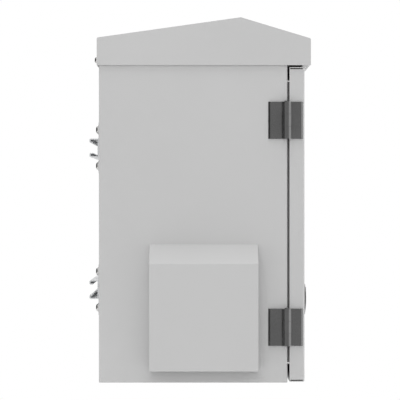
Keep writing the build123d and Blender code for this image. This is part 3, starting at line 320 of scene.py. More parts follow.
def cut(tree, shape, tool):
    """A shape with another taken out of it."""
    settings = {"operation": "DIFFERENCE", "solver": "EXACT"}
    made = add(tree, "GeometryNodeMeshBoolean", settings, {"Mesh 1": shape, "Mesh 2": tool})
    return made.outputs["Mesh"]


def prism(tree, sides, radius, height, depth):
    """Upright bar with flat sides from a height."""
    inputs = {"Vertices": sides, "Radius": radius, "Depth": depth}
    bar = add(tree, "GeometryNodeMeshCylinder", {}, inputs).outputs["Mesh"]
    return lifted(tree, bar, maths(tree, "ADD", height, maths(tree, "MULTIPLY", depth, 0.5)))


def overlong(tree, sides, radius, height):
    """Bar that stands its piece's height past both ends of it."""
    below = maths(tree, "MULTIPLY", height, -1.0)
    return prism(tree, sides, radius, below, maths(tree, "MULTIPLY", height, 3.0))


def close_shape(tree, sizes, shape, least_turn, most_turn):
    """Set one shape on every place, facing its way and turned by a chance angle, as a plain mesh."""
    facing = add(tree, "GeometryNodeInputNamedAttribute", {"data_type": "FLOAT_VECTOR"}, {"Name": "facing"})
    aligned = add(tree, "FunctionNodeAlignRotationToVector", {"axis": "Z"}, {"Vector": facing.outputs[0]})
    angle = add(tree, "FunctionNodeRandomValue", {"data_type": "FLOAT"}, {})
    for key, value in (("Min", least_turn), ("Max", most_turn), ("Seed", turn_seed)):
        used = [socket for socket in angle.inputs if socket.name == key and socket.enabled][0]
        if isinstance(value, bpy.types.NodeSocket):
            tree.links.new(value, used)
        else:
            used.default_value = value
    picked = [socket for socket in angle.outputs if socket.enabled][0]
    turn = add(tree, "ShaderNodeCombineXYZ", {}, {"Z": picked})
    rotation = add(tree, "FunctionNodeEulerToRotation", {}, {"Euler": turn.outputs[0]})
    inputs = {"Rotation": aligned.outputs[0], "Rotate By": rotation.outputs[0]}
    rotation = add(tree, "FunctionNodeRotateRotation", {"rotation_space": "LOCAL"}, inputs)
    inputs = {"Points": sizes["Places"], "Instance": shape, "Rotation": rotation.outputs[0]}
    placed = add(tree, "GeometryNodeInstanceOnPoints", {}, inputs).outputs[0]
    plain = add(tree, "GeometryNodeRealizeInstances", {}, {"Geometry": placed}).outputs[0]
    inputs = {"Geometry": plain, "Material": sizes["Finish"]}
    finished = add(tree, "GeometryNodeSetMaterial", {}, inputs).outputs[0]
    add(tree, "NodeGroupOutput", {}, {"Shape": finished})
    return tree


def put(name, data):
    """A mesh, lamp or camera as an object in the scene."""
    thing = bpy.data.objects.new(name, data)
    bpy.context.scene.collection.objects.link(thing)
    return thing


def grow(name, tree, places, values):
    """Plain piece from a shape tree on points, each with the way its shape faces."""
    mesh = bpy.data.meshes.new(name)
    mesh.from_pydata([place for place, way in places], [], [])
    facing = mesh.attributes.new("facing", "FLOAT_VECTOR", "POINT")
    facing.data.foreach_set("vector", [part for place, way in places for part in way])
    piece = put(name, mesh)
    modifier = piece.modifiers.new("shape", "NODES")
    modifier.node_group = tree
    for item in tree.interface.items_tree:
        if item.name in values:
            modifier[item.identifier] = values[item.name]
    made = bpy.data.meshes.new_from_object(piece.evaluated_get(bpy.context.evaluated_depsgraph_get()))
    piece.modifiers.clear()
    piece.data = made
    made.shade_smooth()
    made.set_sharp_from_angle(angle=sharp_angle)
    return piece


def headed_outline(tree, sizes, shares):
    """Outline of a shank with a chamfered end and a head, which starts at height 0."""
    end = maths(tree, "MULTIPLY", sizes["Shank length"], -1.0)
    chamfer = maths(tree, "MULTIPLY", sizes["Shank radius"], shank_chamfer_share)
    outline = [
        (maths(tree, "SUBTRACT", sizes["Shank radius"], chamfer), end),
        (sizes["Shank radius"], maths(tree, "ADD", end, chamfer)),
        (sizes["Shank radius"], 0.0),
    ]
    for radius_share, height_share in shares:
        radius = maths(tree, "MULTIPLY", sizes["Head radius"], radius_share)
        outline.append((radius, maths(tree, "MULTIPLY", sizes["Head height"], height_share)))
    return outline


def socket_bolt_shape():
    """Low round head with a hexagon socket."""
    tree, sizes = new_shape(
        "socket_bolt", ("Head radius", "Head height", "Shank radius", "Shank length", "Socket radius")
    )
    body = turned(tree, headed_outline(tree, sizes, button_shares), turned_sides)
    floor = maths(tree, "MULTIPLY", sizes["Head height"], 1 - socket_depth_share)
    tool = prism(tree, hexagon_sides, sizes["Socket radius"], floor, sizes["Head height"])
    return close_shape(tree, sizes, cut(tree, body, tool), 0.0, math.tau / hexagon_sides)


def nut_shape():
    """Hexagon nut with both ends turned down to a chamfer."""
    tree, sizes = new_shape("hexagon_nut", ("Reach", "Height", "Bore radius", "Turn"))
    end = maths(tree, "MULTIPLY", sizes["Reach"], nut_end_share)
    middle = maths(tree, "MULTIPLY", sizes["Reach"], nut_middle_share)
    rim = maths(tree, "MULTIPLY", sizes["Height"], nut_rim_share)
    outline = [
        (end, 0.0),
        (middle, rim),
        (middle, maths(tree, "SUBTRACT", sizes["Height"], rim)),
        (end, sizes["Height"]),
    ]
    settings = {"operation": "INTERSECT", "solver": "EXACT"}
    body = add(tree, "GeometryNodeMeshBoolean", settings, {"Mesh 2": turned(tree, outline, turned_sides)})
    tree.links.new(overlong(tree, hexagon_sides, sizes["Reach"], sizes["Height"]), body.inputs["Mesh 2"])
    bore = overlong(tree, turned_sides, sizes["Bore radius"], sizes["Height"])
    return close_shape(tree, sizes, cut(tree, body.outputs["Mesh"], bore), sizes["Turn"], sizes["Turn"])


def metal(name, colour, rough, grain_per_metre, grain_depth, edge):
    """Bare or plated metal with a faint uneven sheen."""
    material = coat(name, colour, rough, sheen_share, sheen_per_metre, grain_per_metre, grain_depth, edge)
    shader_of(material).inputs["Metallic"].default_value = 1.0
    return material


def fasten(name, tree, node, axis, sizes, finish, body):
    """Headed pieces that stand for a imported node: heads face into the case along X, else up the axis."""
    head = sizes["Head height"]
    boxes = islands(node)
    places = []
    for low, high in boxes:
        way = Vector((0, 0, 0))
        way[axis] = -1 if axis == width_axis and low.x > 0 else 1
        seat = (low + high) / 2
        seat[axis] = high[axis] - head if way[axis] > 0 else low[axis] + head
        places.append((seat, tuple(way)))
    low, high = boxes[-1]
    across = (axis + 1) % 3
    values = dict(sizes)
    values["Head radius"] = (high[across] - low[across]) / 2
    values["Shank length"] = high[axis] - low[axis] - head
    values["Finish"] = finish
    piece = grow(name, tree, places, values)
    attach(piece, body)
    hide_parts(node)


def ring_pieces(name, tree, node, axis, bore_radius, turn, finish, body):
    """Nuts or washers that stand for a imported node."""
    boxes = islands(node)
    places = []
    for low, high in boxes:
        way = Vector((0, 0, 0))
        way[axis] = 1
        seat = (low + high) / 2
        seat[axis] = low[axis]
        places.append((seat, tuple(way)))
    low, high = boxes[-1]
    values = {
        "Reach": max(high[side] - low[side] for side in range(3) if side != axis) / 2,
        "Height": high[axis] - low[axis],
        "Bore radius": bore_radius,
        "Turn": turn,
        "Finish": finish,
    }
    piece = grow(name, tree, places, values)
    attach(piece, body)
    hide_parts(node)


stainless = metal(
    "stainless_steel",
    colour=(0.60, 0.595, 0.585),
    rough=(0.14, 0.22),
    grain_per_metre=1400.0,
    grain_depth=0.000003,
    edge=0.0,
)
socket_bolt = socket_bolt_shape()
hexagon_nut = nut_shape()
roof_bore = roof_bolt_sizes["Shank radius"]
fasten("roof_socket_bolts", socket_bolt, "roof_bolts", depth_axis, roof_bolt_sizes, stainless, "cabinet")
ring_pieces(
    "roof_hexagon_nuts", hexagon_nut, "roof_nuts", depth_axis, roof_bore, nut_turn, stainless, "cabinet"
)
dress(stainless, "roof_washers")

# Strut channels: rolled, lipped steel channels on end plates, hot-dip galvanised as one after welding.
# A short run of bead joins each channel edge to its plate; the zinc shows as flat pale crystals.
bead_radius = 0.0016
bead_spacing = 0.0019
bead_segments = 9
bead_rings = 6
bead_stretch = (1.1, 1.0, 0.75)


def weld_bead_shape():
    """One flattened drop of a weld."""
    tree, sizes = new_shape("weld_bead", ("Bead radius",))
    inputs = {"Segments": bead_segments, "Rings": bead_rings, "Radius": sizes["Bead radius"]}
    ball = add(tree, "GeometryNodeMeshUVSphere", {}, inputs).outputs["Mesh"]
    inputs = {"Geometry": ball, "Scale": bead_stretch}
    drop = add(tree, "GeometryNodeTransform", {}, inputs).outputs[0]
    return close_shape(tree, sizes, drop, 0.0, math.pi)


dress(galvanised, "strut_lower", "strut_upper", "strut_plates")
bead_places = []
for strut in ("strut_lower", "strut_upper"):
    strut_low, strut_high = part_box(strut)
    for plate_low, plate_high in islands("strut_plates"):
        if not strut_low.z < (plate_low.z + plate_high.z) / 2 < strut_high.z:
            continue
        start = max(strut_low.x, plate_low.x)
        stop = min(strut_high.x, plate_high.x)
        for index in range(int((stop - start) / bead_spacing)):
            for z in (strut_low.z, strut_high.z):
                bead_places.append(((start + bead_spacing * (index + 0.5), plate_high.y, z), (0, 1, 0)))
bead_values = {"Bead radius": bead_radius, "Finish": galvanised}
strut_welds = grow("strut_welds", weld_bead_shape(), bead_places, bead_values)
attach(strut_welds, "cabinet")

# Strut bolts: eight stainless button-head bolts through the end plates and the back wall.
# Each has a turned washer under its head and a chamfered nut inside the case.
strut_bolt_sizes = {"Head height": 0.0045, "Shank radius": 0.005, "Socket radius": 0.0036}
washer_edge_share = 0.16


def washer_shape():
    """Plain ring with broken edges."""
    tree, sizes = new_shape("plain_washer", ("Reach", "Height", "Bore radius"))
    broken = maths(tree, "MULTIPLY", sizes["Height"], washer_edge_share)
    inner = maths(tree, "SUBTRACT", sizes["Reach"], broken)
    outline = [
        (inner, 0.0),
        (sizes["Reach"], broken),
        (sizes["Reach"], maths(tree, "SUBTRACT", sizes["Height"], broken)),
        (inner, sizes["Height"]),
    ]
    bore = overlong(tree, turned_sides, sizes["Bore radius"], sizes["Height"])
    return close_shape(tree, sizes, cut(tree, turned(tree, outline, turned_sides), bore), 0.0, 0.0)


strut_bore = strut_bolt_sizes["Shank radius"]
fasten("strut_socket_bolts", socket_bolt, "strut_bolts", depth_axis, strut_bolt_sizes, stainless, "cabinet")
ring_pieces(
    "strut_plain_washers", washer_shape(), "strut_washers", depth_axis, strut_bore, 0.0, stainless, "cabinet"
)
ring_pieces(
    "strut_hexagon_nuts", hexagon_nut, "strut_nuts", depth_axis, strut_bore, nut_turn, stainless, "cabinet"
)

# Rain hoods: folded covers over the side vents, open below, coated as the case is.
# Dull stainless pan-head screws with a cross recess, driven from inside, go into their wall flanges.
hood_screw_sizes = {"Head height": 0.0028, "Shank radius": 0.0025}
recess_width_share = 0.3
recess_length_share = 1.25
recess_depth_share = 0.6
pan_shares = (
    (0.96, 0.0), (1.0, 0.12), (1.0, 0.4), (0.95, 0.66), (0.84, 0.86), (0.66, 0.97), (0.5, 1.0)
)


def cross_screw_shape():
    """Pan head with a cross recess."""
    tree, sizes = new_shape("cross_screw", ("Head radius", "Head height", "Shank radius", "Shank length"))
    shape = turned(tree, headed_outline(tree, sizes, pan_shares), turned_sides)
    floor = maths(tree, "MULTIPLY", sizes["Head height"], 1 - recess_depth_share)
    middle = maths(tree, "ADD", floor, maths(tree, "MULTIPLY", sizes["Head height"], 0.5))
    long_side = maths(tree, "MULTIPLY", sizes["Head radius"], recess_length_share)
    short_side = maths(tree, "MULTIPLY", sizes["Head radius"], recess_width_share)
    for across, along in ((long_side, short_side), (short_side, long_side)):
        inputs = {"X": across, "Y": along, "Z": sizes["Head height"]}
        size = add(tree, "ShaderNodeCombineXYZ", {}, inputs).outputs[0]
        bar = add(tree, "GeometryNodeMeshCube", {}, {"Size": size}).outputs["Mesh"]
        shape = cut(tree, shape, lifted(tree, bar, middle))
    return close_shape(tree, sizes, shape, 0.0, math.pi / 2)


def screw_down(name, node, axis, sizes, body):
    """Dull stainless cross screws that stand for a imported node."""
    fasten(name, cross_screw, node, axis, sizes, screw_steel, body)


screw_steel = metal(
    "dull_stainless",
    colour=(0.37, 0.375, 0.38),
    rough=(0.34, 0.48),
    grain_per_metre=900.0,
    grain_depth=0.000006,
    edge=0.0,
)
cross_screw = cross_screw_shape()
dress(paint, "hood_left", "hood_right")
screw_down("hood_pan_screws", "hood_screws", width_axis, hood_screw_sizes, "cabinet")

# Inlet filter: a moulded grey louvre screwed inside the left vent, with a mat behind it.
# The mat is loose white fleece, cut to size, so its faces are soft and uneven and its edges are round.
filter_screw_sizes = {"Head height": 0.0026, "Shank radius": 0.0019}
mat_cuts = 44
mat_sink = 0.0007
mat_lump_per_metre = 160.0
mat_edge = 0.003
fleece_sheen = 0.3


def fleece_mat(node, finish):
    """Soft slab just inside a packed block's faces."""
    low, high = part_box(node)
    middle = (low + high) / 2
    half = (high - low) / 2
    shape = bmesh.new()
    bmesh.ops.create_cube(shape, size=2.0)
    bmesh.ops.subdivide_edges(shape, edges=shape.edges[:], cuts=mat_cuts, use_grid_fill=True)
    for point in shape.verts:
        place = Vector(part * side for part, side in zip(point.co, half))
        core = Vector(max(-side + mat_edge, min(side - mat_edge, part)) for part, side in zip(place, half))
        outward = (place - core).normalized()
        lump = chance.noise((place + middle) * mat_lump_per_metre)
        point.co = middle + core + outward * (mat_edge - mat_sink * (0.5 + 0.5 * lump))
    mesh = bpy.data.meshes.new("fleece_mat")
    shape.to_mesh(mesh)
    shape.free()
    mesh.shade_smooth()
    mesh.materials.append(finish)
    return put("fleece_mat", mesh)


grey_plastic = coat(
    "grey_moulding",
    colour=(0.40, 0.40, 0.40),
    rough=(0.42, 0.55),
    cloud_share=0.03,
    cloud_per_metre=8.0,
    grain_per_metre=1600.0,
    grain_depth=0.00002,
    edge=0.0006,
)
dress(grey_plastic, "filter_grille")
fleece = coat(
    "fleece",
    colour=(0.70, 0.70, 0.68),
    rough=(0.85, 0.98),
    cloud_share=0.12,
    cloud_per_metre=260.0,
    grain_per_metre=900.0,
    grain_depth=0.0008,
    edge=0.001,
)
shader_of(fleece).inputs["Sheen Weight"].default_value = fleece_sheen
mat = fleece_mat("filter_mat", fleece)
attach(mat, "cabinet")
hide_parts("filter_mat")
screw_down("filter_pan_screws", "filter_screws", width_axis, filter_screw_sizes, "cabinet")

# Outlet fan: a moulded black frame and bladed rotor inside the right vent, behind a finger guard.
# The guard is zinc-plated wire, bent into rings and welded to four spokes with screw eyes.
fan_screw_sizes = {"Head height": 0.0026, "Shank radius": 0.0021}
guard_wire_radius = 0.00098
guard_inner_radius = 0.016
guard_outer_radius = 0.076
guard_rings = 5
guard_spokes = 4
guard_eye_radius = 0.0031
ring_steps = 64
eye_steps = 20
wire_steps = 10


def circle(tree, steps, radius):
    """Closed round path."""
    inputs = {"Resolution": steps, "Radius": radius}
    return add(tree, "GeometryNodeCurvePrimitiveCircle", {}, inputs).outputs[0]


def drawn(tree, path, section):
    """A closed section carried along a path."""
    inputs = {"Curve": path, "Profile Curve": section, "Fill Caps": True}
    return add(tree, "GeometryNodeCurveToMesh", {}, inputs).outputs[0]


def wire_guard_shape():
    """Rings, spokes and screw eyes of round wire in one plane."""
    tree, sizes = new_shape(
        "wire_guard", ("Wire radius", "Inner radius", "Outer radius", "Hole reach", "Eye radius")
    )
    wires = []
    span = maths(tree, "SUBTRACT", sizes["Outer radius"], sizes["Inner radius"])
    for index in range(guard_rings):
        step = maths(tree, "MULTIPLY", span, index / (guard_rings - 1))
        wires.append(circle(tree, ring_steps, maths(tree, "ADD", sizes["Inner radius"], step)))
    spoke_reach = maths(tree, "SUBTRACT", sizes["Hole reach"], sizes["Eye radius"])
    for index in range(guard_spokes):
        angle = math.tau / guard_spokes * (index + 0.5)
        ends = []
        for reach in (sizes["Inner radius"], spoke_reach, sizes["Hole reach"]):
            x = maths(tree, "MULTIPLY", reach, math.cos(angle))
            y = maths(tree, "MULTIPLY", reach, math.sin(angle))
            ends.append(add(tree, "ShaderNodeCombineXYZ", {}, {"X": x, "Y": y}).outputs[0])
        inputs = {"Start": ends[0], "End": ends[1]}
        wires.append(add(tree, "GeometryNodeCurvePrimitiveLine", {}, inputs).outputs[0])
        inputs = {"Geometry": circle(tree, eye_steps, sizes["Eye radius"]), "Translation": ends[2]}
        wires.append(add(tree, "GeometryNodeTransform", {}, inputs).outputs[0])
    together = add(tree, "GeometryNodeJoinGeometry", {}, {})
    for wire in wires:
        tree.links.new(wire, together.inputs[0])
    wire_mesh = drawn(tree, together.outputs[0], circle(tree, wire_steps, sizes["Wire radius"]))
    return close_shape(tree, sizes, wire_mesh, 0.0, 0.0)


black_plastic = coat(
    "black_moulding",
    colour=(0.028, 0.028, 0.03),
    rough=(0.38, 0.52),
    cloud_share=0.1,
    cloud_per_metre=12.0,
    grain_per_metre=1800.0,
    grain_depth=0.00002,
    edge=0.0005,
)
dress(black_plastic, "fan_frame", "fan_rotor")
zinc = metal(
    "zinc_plate",
    colour=(0.37, 0.38, 0.39),
    rough=(0.34, 0.48),
    grain_per_metre=900.0,
    grain_depth=0.000006,
    edge=0.0,
)
guard_low, guard_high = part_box("fan_guard")
hole_boxes = islands("fan_screws")
hole_span = hole_boxes[-1][1].y - hole_boxes[0][1].y
guard_values = {
    "Wire radius": guard_wire_radius,
    "Inner radius": guard_inner_radius,
    "Outer radius": guard_outer_radius,
    "Hole reach": hole_span / math.sqrt(2),
    "Eye radius": guard_eye_radius,
    "Finish": zinc,
}
guard = grow("wire_guard", wire_guard_shape(), [((guard_low + guard_high) / 2, (1, 0, 0))], guard_values)
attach(guard, "cabinet")
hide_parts("fan_guard")
screw_down("fan_pan_screws", "fan_screws", width_axis, fan_screw_sizes, "cabinet")

# Rack rails: folded zinc-plated steel with square holes for cage nuts, on four galvanised depth brackets.
# Pan-head screws hold the rails; the brackets hang on headed studs welded to the case walls.
rail_screw_sizes = {"Head height": 0.0033, "Shank radius": 0.003}
stud_sizes = {"Head height": 0.0016, "Shank radius": 0.0024}
stud_shares = ((1.0, 0.0), (1.0, 0.2), (0.94, 0.5), (0.8, 0.78), (0.55, 0.95), (0.25, 1.0))
rolled_dark = (0.33, 0.34, 0.35)
rolled_light = (0.39, 0.40, 0.41)
rolled_rough = (0.32, 0.46)
rolled_stretch = (1.0, 1.0, 0.04)
rolled_streak_per_metre = 700.0
rolled_streak_detail = 3
rolled_cloud_per_metre = 22.0
rolled_depth = 0.000006
rolled_edge = 0.0004


def headed_stud_shape():
    """Low domed head on a plain shank."""
    tree, sizes = new_shape("headed_stud", ("Head radius", "Head height", "Shank radius", "Shank length"))
    body = turned(tree, headed_outline(tree, sizes, stud_shares), turned_sides)
    return close_shape(tree, sizes, body, 0.0, 0.0)


def rolled_zinc_finish():
    """Zinc plate over rolled strip: a faint streak along the rolling direction."""
    material, tree, shader, place = start_finish("rolled_zinc_plate")
    inputs = {"Vector": place, "Scale": rolled_stretch}
    stretched = add(tree, "ShaderNodeMapping", {}, inputs).outputs[0]
    streak = noise(tree, stretched, rolled_streak_per_metre, rolled_streak_detail)
    mixed = halves(tree, streak, noise(tree, place, rolled_cloud_per_metre, cloud_detail))
    tree.links.new(tone(tree, mixed, rolled_dark, rolled_light), shader.inputs["Base Color"])
    tree.links.new(spread(tree, mixed, *rolled_rough), shader.inputs["Roughness"])
    shader.inputs["Metallic"].default_value = 1.0
    relief(tree, shader, streak, rolled_depth, rolled_edge)
    return material


rolled_zinc = rolled_zinc_finish()
dress(rolled_zinc, "rack_rail_left", "rack_rail_right")
for level in ("lower", "upper"):
    dress(galvanised, "rail_bracket_" + level + "_left", "rail_bracket_" + level + "_right")
screw_down("rail_pan_screws", "rail_screws", width_axis, rail_screw_sizes, "cabinet")
fasten("bracket_studs", headed_stud_shape(), "bracket_rivets", width_axis, stud_sizes, screw_steel, "cabinet")

# Cable entry: a galvanised plate over the floor's cut-out, held by six pan-head screws.
# Four moulded rubber grommets snap into it, each with a groove and rounded lips.
cable_screw_sizes = {"Head height": 0.0024, "Shank radius": 0.002}
grommet_neck_radius = 0.016
grommet_bore_radius = 0.011
grommet_lower_lip = 0.0015
grommet_plate = 0.002
grommet_lower_shares = ((0.84, 0.0), (0.96, 0.12), (1.0, 0.45), (1.0, 1.0), (0.0, 1.0))
grommet_upper_shares = ((0.0, 0.0), (1.0, 0.0), (0.97, 0.2), (0.62, 0.8), (0.5, 0.94), (0.3, 1.0))


def grommet_shape():
    """Grooved rubber ring, wider and tapered above the plate."""
    tree, sizes = new_shape(
        "grommet", ("Lip radius", "Neck radius", "Bore radius", "Lower lip", "Plate", "Height")
    )
    groove_top = maths(tree, "ADD", sizes["Lower lip"], sizes["Plate"])
    upper_lip = maths(tree, "SUBTRACT", sizes["Height"], groove_top)
    overhang = maths(tree, "SUBTRACT", sizes["Lip radius"], sizes["Neck radius"])
    outline = []
    for base, rise, shares in (
        (0.0, sizes["Lower lip"], grommet_lower_shares),
        (groove_top, upper_lip, grommet_upper_shares),
    ):
        for reach_share, rise_share in shares:
            reach = maths(tree, "MULTIPLY", overhang, reach_share)
            radius = maths(tree, "ADD", sizes["Neck radius"], reach)
            outline.append((radius, maths(tree, "ADD", base, maths(tree, "MULTIPLY", rise, rise_share))))
    bore = overlong(tree, turned_sides, sizes["Bore radius"], sizes["Height"])
    return close_shape(tree, sizes, cut(tree, turned(tree, outline, 2 * turned_sides), bore), 0.0, 0.0)


dress(galvanised, "cable_plate")
screw_down("cable_pan_screws", "cable_plate_screws", height_axis, cable_screw_sizes, "cabinet")
rubber = coat(
    "black_rubber",
    colour=(0.02, 0.02, 0.021),
    rough=(0.6, 0.75),
    cloud_share=0.15,
    cloud_per_metre=30.0,
    grain_per_metre=1200.0,
    grain_depth=0.00003,
    edge=0.0008,
)
grommet_boxes = islands("cable_grommets")
grommet_low, grommet_high = grommet_boxes[0]
grommet_places = []
for low, high in grommet_boxes:
    grommet_places.append((((low.x + high.x) / 2, (low.y + high.y) / 2, low.z), (0, 0, 1)))
grommet_values = {
    "Lip radius": (grommet_high.x - grommet_low.x) / 2,
    "Neck radius": grommet_neck_radius,
    "Bore radius": grommet_bore_radius,
    "Lower lip": grommet_lower_lip,
    "Plate": grommet_plate,
    "Height": grommet_high.z - grommet_low.z,
    "Finish": rubber,
}
grommets = grow("moulded_grommets", grommet_shape(), grommet_places, grommet_values)
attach(grommets, "cabinet")
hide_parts("cable_grommets")

# Earth stud: a threaded brass stud welded to the floor, with a washer and a nut.
# The thread is rolled, so it is a single round ridge wound up the shank.
thread_pitch = 0.00125
thread_core_share = 0.86
thread_ridge_share = 0.13
thread_steps = 20
ridge_steps = 6
stud_tip_share = 0.15


def threaded_stud_shape():
    """Plain core with a ridge wound up it."""
    tree, sizes = new_shape("threaded_stud", ("Reach", "Length", "Pitch"))
    core = maths(tree, "MULTIPLY", sizes["Reach"], thread_core_share)
    ridge = maths(tree, "MULTIPLY", sizes["Reach"], thread_ridge_share)
    end = maths(tree, "SUBTRACT", sizes["Length"], maths(tree, "MULTIPLY", core, stud_tip_share))
    tip = maths(tree, "MULTIPLY", core, 1 - stud_tip_share)
    body = turned(tree, [(core, 0.0), (core, end), (tip, sizes["Length"])], turned_sides)
    height = maths(tree, "SUBTRACT", sizes["Length"], maths(tree, "MULTIPLY", sizes["Pitch"], 2.0))
    radius = maths(tree, "SUBTRACT", sizes["Reach"], ridge)
    inputs = {
        "Resolution": thread_steps,
        "Rotations": maths(tree, "DIVIDE", height, sizes["Pitch"]),
        "Start Radius": radius,
        "End Radius": radius,
        "Height": height,
    }
    spiral = add(tree, "GeometryNodeCurveSpiral", {}, inputs).outputs[0]
    wound = drawn(tree, lifted(tree, spiral, sizes["Pitch"]), circle(tree, ridge_steps, ridge))
    return close_shape(tree, sizes, joined(tree, [body, wound]), 0.0, 0.0)


brass = metal(
    "brass",
    colour=(0.40, 0.30, 0.14),
    rough=(0.30, 0.44),
    grain_per_metre=900.0,
    grain_depth=0.000006,
    edge=0.0003,
)
stud_low, stud_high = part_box("earth_stud")
stud_place = ((stud_low.x + stud_high.x) / 2, (stud_low.y + stud_high.y) / 2, stud_low.z)
stud_values = {
    "Reach": (stud_high.x - stud_low.x) / 2,
    "Length": stud_high.z - stud_low.z,
    "Pitch": thread_pitch,
    "Finish": brass,
}
earth_thread = grow("earth_thread", threaded_stud_shape(), [(stud_place, (0, 0, 1))], stud_values)
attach(earth_thread, "cabinet")
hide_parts("earth_stud")
dress(brass, "earth_nut")

# Hinges: die-cast zinc leaves and a headed steel pin with a dark, slightly glossy coat, and studs cast in.
# The studs go through the case and door walls, and small stainless nuts hold them inside.
hinge_nut_bore = 0.0025
hinge_metal_share = 0.85
hinge_coat = coat(
    "dark_cast_coat",
    colour=(0.101, 0.101, 0.101),
    rough=(0.22, 0.3),
    cloud_share=0.08,
    cloud_per_metre=18.0,
    grain_per_metre=1300.0,
    grain_depth=0.00003,
    edge=0.0004,
)
shader_of(hinge_coat).inputs["Metallic"].default_value = hinge_metal_share
for level in ("lower", "upper"):
    dress(hinge_coat, "hinge_body_leaf_" + level, "hinge_door_leaf_" + level, "hinge_pin_" + level)
for name, node, body in (
    ("hinge_case_hexagon_nuts", "hinge_body_nuts", "cabinet"),
    ("hinge_door_hexagon_nuts", "hinge_door_nuts", "door_leaf"),
):
    ring_pieces(name, hexagon_nut, node, width_axis, hinge_nut_bore, 0.0, screw_steel, body)

# Door: a folded pan, coated as the case is, with a strip of black foam poured round its inside.
# The foam is soft, so its section is a rounded pad that the case's lip presses into.
gasket_width = 0.012
gasket_corner = 0.009
gasket_corner_steps = 8
gasket_section_steps = 20
gasket_round_share = 0.42
gasket_sink = 0.0002


def foam_strip(node, finish):
    """Rounded foam section carried round a rectangle inside a packed ring."""
    low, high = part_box(node)
    path = []
    corner_x = (high.x - low.x - gasket_width) / 2 - gasket_corner
    corner_z = (high.z - low.z - gasket_width) / 2 - gasket_corner
    for quarter, (side_x, side_z) in enumerate(((1, 1), (-1, 1), (-1, -1), (1, -1))):
        for step in range(gasket_corner_steps + 1):
            angle = math.pi / 2 * (quarter + step / gasket_corner_steps)
            out = Vector((math.cos(angle), 0, math.sin(angle)))
            path.append((Vector((side_x * corner_x, 0, side_z * corner_z)) + out * gasket_corner, out))
    middle = (low + high) / 2
    half_width = gasket_width / 2 - gasket_sink
    half_depth = (high.y - low.y) / 2 - gasket_sink
    section = []
    for step in range(gasket_section_steps):
        angle = math.tau * step / gasket_section_steps
        across = math.copysign(abs(math.cos(angle)) ** gasket_round_share, math.cos(angle))
        deep = math.copysign(abs(math.sin(angle)) ** gasket_round_share, math.sin(angle))
        section.append((across * half_width, deep * half_depth))
    points = []
    for place, out in path:
        for across, deep in section:
            points.append(middle + place + out * across + Vector((0, deep, 0)))
    faces = []
    count = len(section)
    for row in range(len(path)):
        here = row * count
        after = (row + 1) % len(path) * count
        for step in range(count):
            beside = (step + 1) % count
            faces.append((here + step, here + beside, after + beside, after + step))
    mesh = bpy.data.meshes.new("foam_strip")
    mesh.from_pydata(points, [], faces)
    shape = bmesh.new()
    shape.from_mesh(mesh)
    bmesh.ops.recalc_face_normals(shape, faces=shape.faces)
    shape.to_mesh(mesh)
    shape.free()
    mesh.shade_smooth()
    mesh.materials.append(finish)
    return put("foam_strip", mesh)


dress(paint, "door_panel")
foam = coat(
    "black_foam",
    colour=(0.03, 0.03, 0.03),
    rough=(0.85, 0.97),
    cloud_share=0.2,
    cloud_per_metre=300.0,
    grain_per_metre=1100.0,
    grain_depth=0.0004,
    edge=0.0004,
)
gasket = foam_strip("door_gasket", foam)
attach(gasket, "door_leaf")
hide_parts("door_gasket")

# Lock: a cast handle and rose with the hinges' dark coat, on a spindle through a moulded black lock body.
# A pinion drives two zinc-plated toothed rods in moulded guides behind a zinc-plated cover,
# and a satin steel plug in the handle takes the key.
lock_screw_sizes = {"Head height": 0.0024, "Shank radius": 0.002}
dress(hinge_coat, "lock_rose", "handle")
dress(black_plastic, "lock_body", "rod_guides")
plug_steel = metal(
    "satin_stainless",
    colour=(0.34, 0.335, 0.33),
    rough=(0.26, 0.36),
    grain_per_metre=1100.0,
    grain_depth=0.000004,
    edge=0.0003,
)
dress(plug_steel, "key_plug")
dress(rolled_zinc, "gear_bridge", "rod_upper", "rod_lower")
gear_steel = metal(
    "gear_steel",
    colour=(0.36, 0.355, 0.35),
    rough=(0.3, 0.42),
    grain_per_metre=1100.0,
    grain_depth=0.00001,
    edge=0.0003,
)
dress(gear_steel, "pinion", "spindle")
screw_down("lock_pan_screws", "lock_screws", depth_axis, lock_screw_sizes, "door_leaf")

# Stage: pale floor well below the cabinet, which hangs on a wall in use, under even studio light.
# A light card in front and a dark one behind show only in gloss, as at the hinges and bolt heads.
floor_drop = 0.6
floor_half = 6.0
floor_fade_start = 1.6
floor_fade_end = 4.2
ambient = 0.62


def flat_sheet(name, corners, finish):
    """One four-sided face of the studio."""
    mesh = bpy.data.meshes.new(name)
    mesh.from_pydata(corners, [], [(0, 1, 2, 3)])
    mesh.materials.append(finish)
    sheet = put(name, mesh)
    return sheet


def seen_directly(tree):
    """1 for what the camera sees, straight or in gloss or through glass, else 0."""
    path = add(tree, "ShaderNodeLightPath", {}, {})
    seen = maths(tree, "MAXIMUM", path.outputs["Is Camera Ray"], path.outputs["Is Glossy Ray"])
    return maths(tree, "MAXIMUM", seen, path.outputs["Is Transmission Ray"])


def lamp(name, place, target, size, power):
    """Soft square lamp aimed at a point."""
    light = bpy.data.lights.new(name, "AREA")
    light.size = size
    light.energy = power
    shown = put(name, light)
    shown.location = place
    shown.rotation_mode = "QUATERNION"
    shown.rotation_quaternion = (Vector(target) - Vector(place)).to_track_quat("-Z", "Y")
    shown.visible_glossy = False


